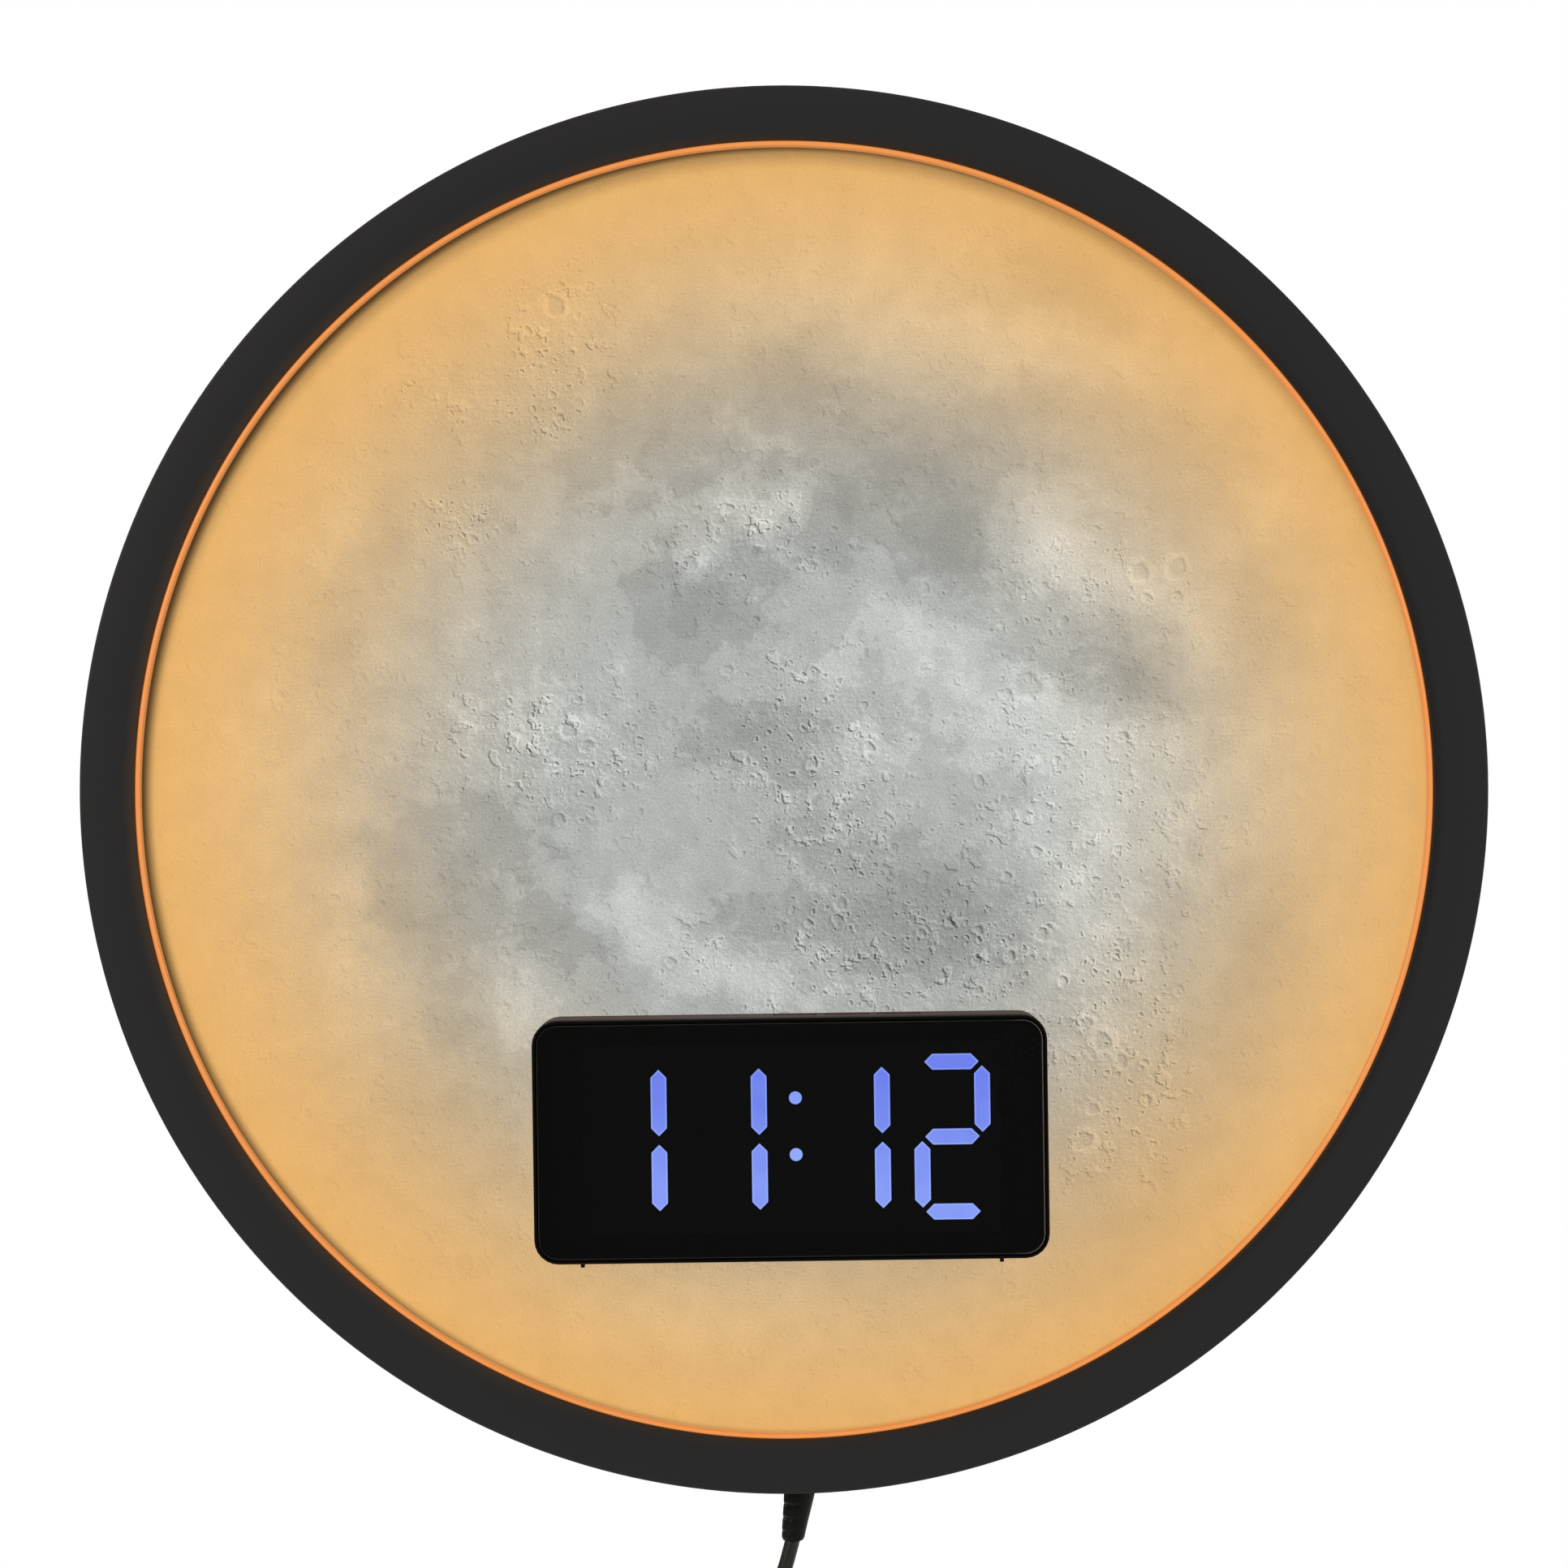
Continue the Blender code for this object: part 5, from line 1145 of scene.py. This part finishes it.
# %% Moon print: the slope towards the light
toward_light = Vector((0.75, 0.66, 0.0)).normalized()
light_step = 0.34
ahead = add(moon, "VectorMath", {0: spot, 1: tuple(toward_light * light_step)}, operation="ADD")
here, dull, rims = ground_height(spot)
there, _, _ = ground_height(ahead)
drop = add(moon, "Math", {0: here, 1: there}, operation="SUBTRACT")
slope = add(moon, "Math", {0: drop, 1: 1 / light_step}, operation="MULTIPLY")
print("craters placed by hand:", len(large_rings))

# %% [markdown]
# The relief is strongest in the rough middle and fades towards the rim, where the full moon shows no
# shadows. A few soft ovals, with their strengths, mark the rough country. The grain stands for the
# print's own dots. Those are too fine to show, so it is drawn larger than they are.

# %% Moon print: how strong the relief and the grain are
plain_roughness, most_roughness = 0.24, 1.15
slope_share, brightest_slope = 0.95, 0.24
dull_share, rim_share = -0.10, 0.22
grain_mm, grain_depth = 0.42, 0.30
rough_country = [
    ((4, 8), (26, 30), 1.3), ((-50, 9), (30, 20), 1.4), ((12, -14), (14, 20), 0.9),
    ((18, -36), (58, 16), 1.2), ((62, -8), (40, 54), 0.7), ((70, -62), (20, 34), 1.5),
    ((-6, 52), (26, 18), 0.9), ((-50, 92), (16, 24), 1.3), ((-72, 84), (18, 12), 1.0),
    ((-70, 58), (14, 9), 1.2), ((62, 45), (40, 14), 0.6), ((30, -28), (34, 16), 0.5),
]
rough = plain_roughness
for centre, half_sizes, strength in rough_country:
    soft = soft_oval(ragged, centre, half_sizes)
    rough = add(moon, "Math", {0: soft, 1: strength, 2: rough}, operation="MULTIPLY_ADD")
rough = add(moon, "Math", {0: rough, 1: most_roughness}, operation="MINIMUM")
relief_gain = add(
    moon, "MapRange",
    {"Value": from_axis, "From Min": 64.0, "From Max": 132.0, "To Min": 1.0, "To Max": 0.26},
)
rough = add(moon, "Math", {0: rough, 1: relief_gain}, operation="MULTIPLY")
relief = add(moon, "Math", {0: slope, 1: slope_share}, operation="MULTIPLY")
relief = add(moon, "Math", {0: relief, 1: brightest_slope}, operation="MINIMUM")
relief = add(moon, "Math", {0: dull, 1: dull_share, 2: relief}, operation="MULTIPLY_ADD")
relief = add(moon, "Math", {0: relief, 1: rough}, operation="MULTIPLY")
relief = add(moon, "Math", {0: rims, 1: rim_share, 2: relief}, operation="MULTIPLY_ADD")
grain = add(moon, "TexNoise", {"Vector": spot, "Scale": 1 / grain_mm, "Detail": 1.0})
grain_swing = add(
    moon, "MapRange", {"Value": grain, "To Min": -grain_depth, "To Max": grain_depth},
)
grain_part = add(moon, "Math", {0: grain_swing, 1: relief_gain}, operation="MULTIPLY")
print("stretches of rough country:", len(rough_country))

# %% [markdown]
# The densities are added up now, and the exponential of their sum dims or brightens the painted glow.

# %% Moon print: put together
density = add(moon, "Math", {0: lands, 1: land_gain, 2: grain_part}, operation="MULTIPLY_ADD")
density = add(moon, "Math", {0: density, 1: relief}, operation="ADD")
light_share = add(moon, "Math", {0: density}, operation="EXPONENT")
printed = add(
    moon, "VectorMath", {0: painted_glow.outputs["Color"], "Scale": light_share}, operation="SCALE",
)
print("nodes in the relief and the tint:", len(moon.node_tree.nodes))

# %% [markdown]
# The disc lies 3 mm behind the frame's face, so the frame's edge throws a soft shade on it. The
# photo's light comes from the upper left, which makes that shade some 3 mm wide there and hardly
# anything on the right. A circle a little smaller than the disc and moved to the lower right gives
# just that crescent. A second circle, moved further down, adds the wide faint part under the
# frame's top.

# %% Moon print: shade at the rim
narrow_middle, narrow_radius = (1.2, -0.75, 0.0), 135.4
wide_middle, wide_radius = (1.1, -2.8, 0.0), 135.0
narrow_from = add(moon, "VectorMath", {0: spot, 1: narrow_middle}, operation="DISTANCE")
narrow = add(
    moon, "MapRange",
    {"Value": narrow_from.outputs["Value"], "From Min": narrow_radius, "From Max": 138.4,
     "To Max": 0.93},
    interpolation_type="SMOOTHSTEP",
)
wide_from = add(moon, "VectorMath", {0: spot, 1: wide_middle}, operation="DISTANCE")
wide = add(
    moon, "MapRange",
    {"Value": wide_from.outputs["Value"], "From Min": wide_radius, "From Max": 139.6,
     "To Max": 0.45},
    interpolation_type="SMOOTHSTEP",
)
rim_shade = add(moon, "Math", {0: narrow, 1: wide}, operation="MAXIMUM")
shaded = add(
    moon, "Mix", {"Factor": rim_shade, "A": printed, "B": linear("#261A0C")}, data_type="RGBA",
)
shade_starts = narrow_radius - Vector(narrow_middle).length
bead_inner = 1000 * (bead_radius - bead_half_width)
print("shade at its widest, mm:", round(bead_inner - shade_starts, 1))

# %% [markdown]
# Most of the disc's light comes from behind, so the print glows. The rest is the studio's light on
# the satin ink.

# %% Moon print: its own light
glow_strength = 0.82
ink_share = 0.30
feed(moon, "Emission Color", shaded)
surface_of(moon).inputs["Emission Strength"].default_value = glow_strength
ink = add(moon, "VectorMath", {0: shaded, "Scale": ink_share}, operation="SCALE")
feed(moon, "Base Color", ink)
print("moon print nodes:", len(moon.node_tree.nodes))

# %% [markdown]
# ## Finish: smoked acrylic lens
# The module's front is a 1.5 mm sheet of smoked acrylic, polished and hard coated. It is dark enough
# to hide the black film behind it and still lets the lit windows through. Light traced through a
# clear sheet's thickness is slow and shows nothing here, so the sheet is a black gloss surface with a
# constant alpha. The hard coat leaves a very faint waviness, called orange peel.

# %% Lens finish: smoke and gloss
lens_opacity = 0.55
smoked = new_finish("pmma_smoked_hard_coated", "#131514", 0.08, IOR=1.49, Alpha=lens_opacity)
spot = in_millimetres(smoked)
peel = add(smoked, "TexNoise", {"Vector": spot, "Scale": 1 / 3.5, "Detail": 1.0})
haze = add(smoked, "TexNoise", {"Vector": spot, "Scale": 1 / 18, "Detail": 3.0})
gloss = add(smoked, "MapRange", {"Value": haze, "To Min": 0.06, "To Max": 0.12})
feed(smoked, "Roughness", gloss)
feed(smoked, "Normal", add(smoked, "Bump", {"Height": peel, "Strength": 0.06, "Distance": 0.00002}))
smoke_through = (1 - lens_opacity) ** 2
print("share of light through both faces of the lens:", round(smoke_through, 3))

# %% [markdown]
# The sheet's edge has a fine chamfer, which catches light: it is the thin line inside the casing's
# rim, palest on the right. That catch light is a painted highlight in the lens's colour. The distance
# past a rounded rectangle's straight part, measured in the module's own turned axes, draws it.

# %% Lens finish: the chamfered edge
module_middle = tuple(1000 * place for place in module_centre)
lens_half_width, lens_half_height, lens_corner = 52.9, 24.45, 4.15
chamfer_width = 0.22
any_depth = 100.0
turned = add(
    smoked, "VectorRotate",
    {"Vector": spot, "Center": module_middle, "Angle": module_tilt}, rotation_type="Y_AXIS",
)
from_middle = add(smoked, "VectorMath", {0: turned, 1: module_middle}, operation="SUBTRACT")
straight = (lens_half_width - lens_corner, any_depth, lens_half_height - lens_corner)
past = add(smoked, "VectorMath", {0: from_middle}, operation="ABSOLUTE")
past = add(smoked, "VectorMath", {0: past, 1: straight}, operation="SUBTRACT")
past = add(smoked, "VectorMath", {0: past, 1: (0.0, 0.0, 0.0)}, operation="MAXIMUM")
reach = add(smoked, "VectorMath", {0: past}, operation="LENGTH").outputs["Value"]
chamfer_highlight_share = add(
    smoked, "MapRange",
    {"Value": reach, "From Min": lens_corner - chamfer_width,
     "From Max": lens_corner - 0.8 * chamfer_width},
)
# The painted highlight on the chamfer is palest on the right.
sideways = add(smoked, "SeparateXYZ", {0: from_middle}).outputs["X"]
highlight_rightness = add(smoked, "MapRange", {"Value": sideways, "From Min": 46.0, "From Max": 52.0})
painted_chamfer_highlight = add(
    smoked, "Mix", {"Factor": highlight_rightness, "A": linear("#3E3D38"), "B": linear("#94837D")},
    data_type="RGBA",
)
lens_tone_and_highlight = add(
    smoked, "Mix", {"Factor": chamfer_highlight_share, "A": linear("#131514"), "B": painted_chamfer_highlight},
    data_type="RGBA",
)
feed(smoked, "Base Color", lens_tone_and_highlight)
print("lens, mm:", round(2 * lens_half_width, 1), "x", round(2 * lens_half_height, 1))

# %% [markdown]
# ## Finish: the lit windows
# Each window is white film lit by a blue-violet LED. The eye sees a flat periwinkle with a slightly
# paler line at the window's cut edge. The lens lets only a fifth of the light through, so the film's
# own glow is five times as strong.

# %% Lit window finishes
top_z, foot_z = -60.0, -84.0
cloud_swing = 0.7


def lit_film(name, top_colour, foot_colour):
    """White film with an LED behind: paler towards the display's foot, and a little cloudy."""
    finish = new_finish(name, "#1A1E3A", 0.5)
    spot = in_millimetres(finish)
    height = add(finish, "SeparateXYZ", {0: spot}).outputs["Z"]
    share = add(finish, "MapRange", {"Value": height, "From Min": top_z, "From Max": foot_z})
    cloud = add(finish, "TexNoise", {"Vector": spot, "Scale": 1 / 7, "Detail": 1.0})
    share = add(finish, "Math", {0: cloud, 1: cloud_swing, 2: share}, operation="MULTIPLY_ADD")
    share = add(finish, "Math", {0: share, 1: cloud_swing / 2}, operation="SUBTRACT")
    colour = add(
        finish, "Mix", {"Factor": share, "A": linear(top_colour), "B": linear(foot_colour)},
        data_type="RGBA",
    )
    feed(finish, "Emission Color", colour)
    surface_of(finish).inputs["Emission Strength"].default_value = 1.0 / smoke_through
    return finish


lit_core = lit_film("pet_film_white_lit_blue", "#6E80EC", "#869CF5")
lit_edge = lit_film("pet_film_white_lit_blue_cut_edge", "#869CF6", "#98AEFF")
lit_digits.data.materials.append(lit_core)
lit_digits.data.materials.append(lit_edge)
print("glow behind the lens:", round(1.0 / smoke_through, 2))

# %% [markdown]
# ## Finishes: moulded plastics
# Most of the other pieces are moulded in ABS, PVC or a similar plastic. A tool's grain gives each a
# fine, even texture, and the plastic itself a tone that is never quite flat. One recipe makes them
# all: a grain of the right size in millimetres drives the bump and a little of the roughness, and a
# slow noise drives the tone.

# %% Moulded plastics


def moulded(name, dark, light, roughness, grain_mm, depth_mm, **values):
    """A plastic with a tone between two colours, and a grain with a size and a depth."""
    finish = new_finish(name, light, roughness, **values)
    spot = in_millimetres(finish)
    grain = add(finish, "TexNoise", {"Vector": spot, "Scale": 1 / grain_mm, "Detail": 2.0})
    cloud = add(finish, "TexNoise", {"Vector": spot, "Scale": 1 / (30 * grain_mm), "Detail": 3.0})
    tone = add(
        finish, "Mix", {"Factor": cloud, "A": linear(dark), "B": linear(light)}, data_type="RGBA",
    )
    worn = add(
        finish, "MapRange", {"Value": grain, "To Min": roughness - 0.07, "To Max": roughness + 0.07},
    )
    feed(finish, "Base Color", tone)
    feed(finish, "Roughness", worn)
    bump = add(finish, "Bump", {"Height": grain, "Strength": 0.5, "Distance": depth_mm / 1000})
    feed(finish, "Normal", bump)
    return finish


black_case = moulded(
    "abs_satin_black_casing", "#070605", "#0B0909", 0.55, 0.25, 0.008,
    IOR=1.53, Specular_IOR_Level=0.06,
)
black_cover = moulded("abs_textured_black_cover", "#171716", "#1D1D1C", 0.60, 0.60, 0.045, IOR=1.53)
black_inner = moulded("abs_plain_black_inner", "#121212", "#191918", 0.50, 0.40, 0.015, IOR=1.53)
white_inner = moulded("abs_plain_white_inner", "#E2E0D8", "#EFEDE6", 0.48, 0.50, 0.012, IOR=1.53)
cord_skin = moulded("pvc_extruded_black_cord", "#1F201A", "#2D2E27", 0.36, 0.80, 0.020, IOR=1.54)
soft_skin = moulded(
    "pvc_moulded_black_grip", "#0A0B07", "#14150F", 0.46, 0.35, 0.020,
    IOR=1.54, Specular_IOR_Level=0.2,
)
lead_skin = moulded("pvc_extruded_white_lead", "#DAD8D0", "#E8E6DF", 0.50, 0.60, 0.010, IOR=1.54)
black_film = moulded("pet_film_printed_matt_black", "#050505", "#080808", 0.70, 0.20, 0.003, IOR=1.57)
grey_film = moulded("pet_film_dark_smoked_diffuser", "#090A0A", "#0C0D0D", 0.65, 0.20, 0.003, IOR=1.57)
white_film = moulded("pet_film_white_reflector", "#E9E8E2", "#F4F3EE", 0.55, 0.30, 0.003, IOR=1.57)
grey_foam = moulded("pe_foam_tape_grey", "#55565A", "#6A6B6F", 0.90, 0.45, 0.120, IOR=1.50)
print("materials in the file:", len(bpy.data.materials))

# %% [markdown]
# The module's casing stands on the lit disc, whose warm light grazes its sides. Seen from the front
# this is a rose-brown band on the top side. It fades to black at the front rim and, in the contact
# shadow, at the disc. The depth along the clock's axis drives it. The side walls stand beside the
# darker, orange rim, so they take less of it.

# %% Warm light on the casing: front to back
casing_front, casing_back = -38.4, -20.4
place = add(black_case, "SeparateXYZ", {0: in_millimetres(black_case)})
depth = place.outputs["Y"]
depth_share = add(
    black_case, "MapRange", {"Value": depth, "From Min": casing_front, "From Max": casing_back},
)
warmth = add(black_case, "ValToRGB", {0: depth_share})
warm_stops = [
    (0.22, "#000000"), (0.40, "#5A413B"), (0.64, "#63473F"), (0.82, "#3A2722"), (1.00, "#060403"),
]
fill_ramp(warmth, [(share, linear(colour)) for share, colour in warm_stops])
print("casing stands proud of the disc by, mm:", round(casing_back - casing_front, 1))

# %% Warm light on the casing: less on the side walls
side_share = 0.30
black = (0.0, 0.0, 0.0, 1.0)
plain_tone = surface_of(black_case).inputs["Base Color"].links[0].from_socket
across = add(
    black_case, "Math", {0: place.outputs["X"], 1: module_middle[0]}, operation="SUBTRACT",
)
across = add(black_case, "Math", {0: across}, operation="ABSOLUTE")
warm_share = add(
    black_case, "MapRange",
    {"Value": across, "From Min": 50.5, "From Max": 53.6, "To Min": 1.0, "To Max": side_share},
)
warmth = add(
    black_case, "Mix", {"Factor": warm_share, "A": black, "B": warmth}, data_type="RGBA",
)
warmed = add(
    black_case, "Mix", {"Factor": 1.0, "A": plain_tone, "B": warmth},
    data_type="RGBA", blend_type="ADD",
)
feed(black_case, "Base Color", warmed)
print("share of the warm light on the side walls:", side_share)

# %% [markdown]
# ## Finish: woven hook-and-loop strap
# The coil's tie is a strap of black hook-and-loop tape. Its loops are too fine to draw, so a weave of
# 0.6 mm stands for them, with a little sheen from the fibres. A wave pattern has 20 waves in 2 pi
# units, so a scale of 1 / 1.9 gives that size.

# %% Strap finish
strap = new_finish("pa_woven_loop_strap", "#16171A", 0.85, Sheen_Weight=0.35, Sheen_Roughness=0.5)
spot = in_millimetres(strap)
weft, warp = [
    add(
        strap, "TexWave", {"Vector": spot, "Scale": 1 / 1.9, "Distortion": 0.6, "Detail": 1.0},
        wave_type="BANDS", bands_direction=direction,
    )
    for direction in ("Z", "DIAGONAL")
]
weave = add(strap, "Math", {0: weft, 1: warp}, operation="MULTIPLY")
weave_tone = add(
    strap, "Mix", {"Factor": weave, "A": linear("#0D0E10"), "B": linear("#202225")}, data_type="RGBA",
)
feed(strap, "Base Color", weave_tone)
feed(strap, "Normal", add(strap, "Bump", {"Height": weave, "Strength": 0.7, "Distance": 0.00012}))
print("one thread, mm:", round(2 * math.pi / 20 * 1.9, 2))

# %% [markdown]
# ## Finishes: metals
# Screws and the hanger plate are zinc plated steel: a bluish grey with cloudy patches from the bath
# and fine scratches from tumbling. The plug's shell is nickel plated, brighter and warmer, with
# rolling lines along the sheet. The coin cell is stamped stainless steel. Noise stretched along one
# axis draws the scratches, 0.15 mm apart.

# %% Metals
scratch_mm = 0.15
patch_mm = 2.2


def worked_metal(name, dark, light, roughness, stretch):
    """Metal with a cloudy tone, and scratches that are longer along stretch's small axes."""
    finish = new_finish(name, light, roughness, Metallic=1.0)
    spot = in_millimetres(finish)
    drawn = add(finish, "VectorMath", {0: spot, 1: stretch}, operation="MULTIPLY")
    scratches = add(finish, "TexNoise", {"Vector": drawn, "Scale": 1 / scratch_mm, "Detail": 2.0})
    cloud = add(finish, "TexNoise", {"Vector": spot, "Scale": 1 / patch_mm, "Detail": 4.0})
    tone = add(
        finish, "Mix", {"Factor": cloud, "A": linear(dark), "B": linear(light)}, data_type="RGBA",
    )
    worn = add(
        finish, "MapRange",
        {"Value": scratches, "From Min": 0.3, "From Max": 0.7, "To Min": roughness - 0.08,
         "To Max": roughness + 0.10},
    )
    feed(finish, "Base Color", tone)
    feed(finish, "Roughness", worn)
    lines = add(finish, "Bump", {"Height": scratches, "Strength": 0.25, "Distance": 0.00001})
    feed(finish, "Normal", lines)
    return finish


zinc = worked_metal("steel_zinc_plated_tumbled", "#A9ADB3", "#C6C9CC", 0.36, (1.0, 1.0, 0.35))
nickel = worked_metal("steel_nickel_plated_rolled", "#C2BFB8", "#DAD7CF", 0.22, (1.0, 1.0, 0.08))
stainless = worked_metal("steel_stainless_stamped", "#BFC0C0", "#D6D6D4", 0.26, (0.1, 1.0, 1.0))
print("materials in the file:", len(bpy.data.materials))

# %% [markdown]
# ## Finish: circuit boards
# Glass fibre board under green solder mask. Copper tracks stand a little under the mask and show as a
# lighter green. A brick pattern gives straight runs with square turns, about 1.5 mm apart, and the
# board's edge keeps the mask's tone. The LED strip is the same kind of thing in white.

# %% Boards


def board(name, mask, track, cell_mm):
    """Solder mask over copper tracks that run one cell apart."""
    finish = new_finish(name, mask, 0.38, IOR=1.55, Coat_Weight=0.3, Coat_Roughness=0.2)
    spot = in_millimetres(finish)
    tracks = add(
        finish, "TexBrick",
        {"Vector": face_on(finish, spot), "Color1": (1.0, 1.0, 1.0, 1.0),
         "Color2": (0.8, 0.8, 0.8, 1.0), "Mortar": (0.0, 0.0, 0.0, 1.0), "Scale": 1.0,
         "Mortar Size": 0.12, "Mortar Smooth": 0.2, "Brick Width": 4 * cell_mm,
         "Row Height": cell_mm},
    )
    weave = add(finish, "TexNoise", {"Vector": spot, "Scale": 1 / 0.8, "Detail": 2.0})
    tone = add(
        finish, "Mix", {"Factor": tracks.outputs["Fac"], "A": linear(mask), "B": linear(track)},
        data_type="RGBA",
    )
    worn = add(finish, "MapRange", {"Value": weave, "To Min": 0.30, "To Max": 0.46})
    feed(finish, "Base Color", tone)
    feed(finish, "Roughness", worn)
    raised = add(
        finish, "Bump", {"Height": tracks.outputs["Fac"], "Strength": 0.4, "Distance": 0.00004},
    )
    feed(finish, "Normal", raised)
    return finish


green_board = board("fr4_green_solder_mask", "#0E3A22", "#1B5A34", 1.5)
white_strip = board("polyimide_white_led_strip", "#E9E8E0", "#D5C9A8", 2.5)
print("materials in the file:", len(bpy.data.materials))

# %% [markdown]
# ## Dress the pieces
# Each CAD node that still shows, and each new piece, gets its finish. A list by finish keeps them
# together, and a last count shows that none was missed.

# %% Dress
wearers = {
    charcoal: [frame_piece],
    amber: [glow_piece],
    moon: ["moon_panel"],
    black_case: ["front_shell", "rear_plate", "key_set", "key_down", "key_up"],
    smoked: ["lens_panel"],
    black_cover: ["back_cover"],
    black_inner: ["switch_set", "switch_down", "switch_up", "cell_holder", "buzzer"],
    white_inner: [
        "spacer_hoop", "segment_block", "plunger_set", "plunger_down", "plunger_up", "usb_tongue",
    ],
    lead_skin: ["strip_lead"],
    cord_skin: ["inner_lead", "module_lead", power_cord],
    soft_skin: [relief_piece, grip_piece],
    strap: ["cord_tie"],
    black_film: ["mask_film"],
    grey_film: ["diffuser_film"],
    white_film: ["reflector_sheet"],
    grey_foam: ["adhesive_pad"],
    zinc: [
        "hanger_plate", "driver_screw_1", "driver_screw_2", "module_screw_1", "module_screw_2",
        "module_screw_3", "module_screw_4", *screws,
    ],
    nickel: ["usb_shell"],
    stainless: ["coin_cell"],
    green_board: ["driver_board", "main_board"],
    white_strip: ["led_strip"],
}
dressed = set()
for finish, pieces in wearers.items():
    for piece in pieces:
        if isinstance(piece, str):
            dressed.add(piece)
            piece = parts[piece]
        if not piece.data.materials:
            piece.data.materials.append(finish)
        for slot in piece.material_slots:
            slot.material = finish
shown = {name for name, node in parts.items() if not node.hide_render}
print("nodes shown:", len(shown), "still plain:", sorted(shown - dressed))
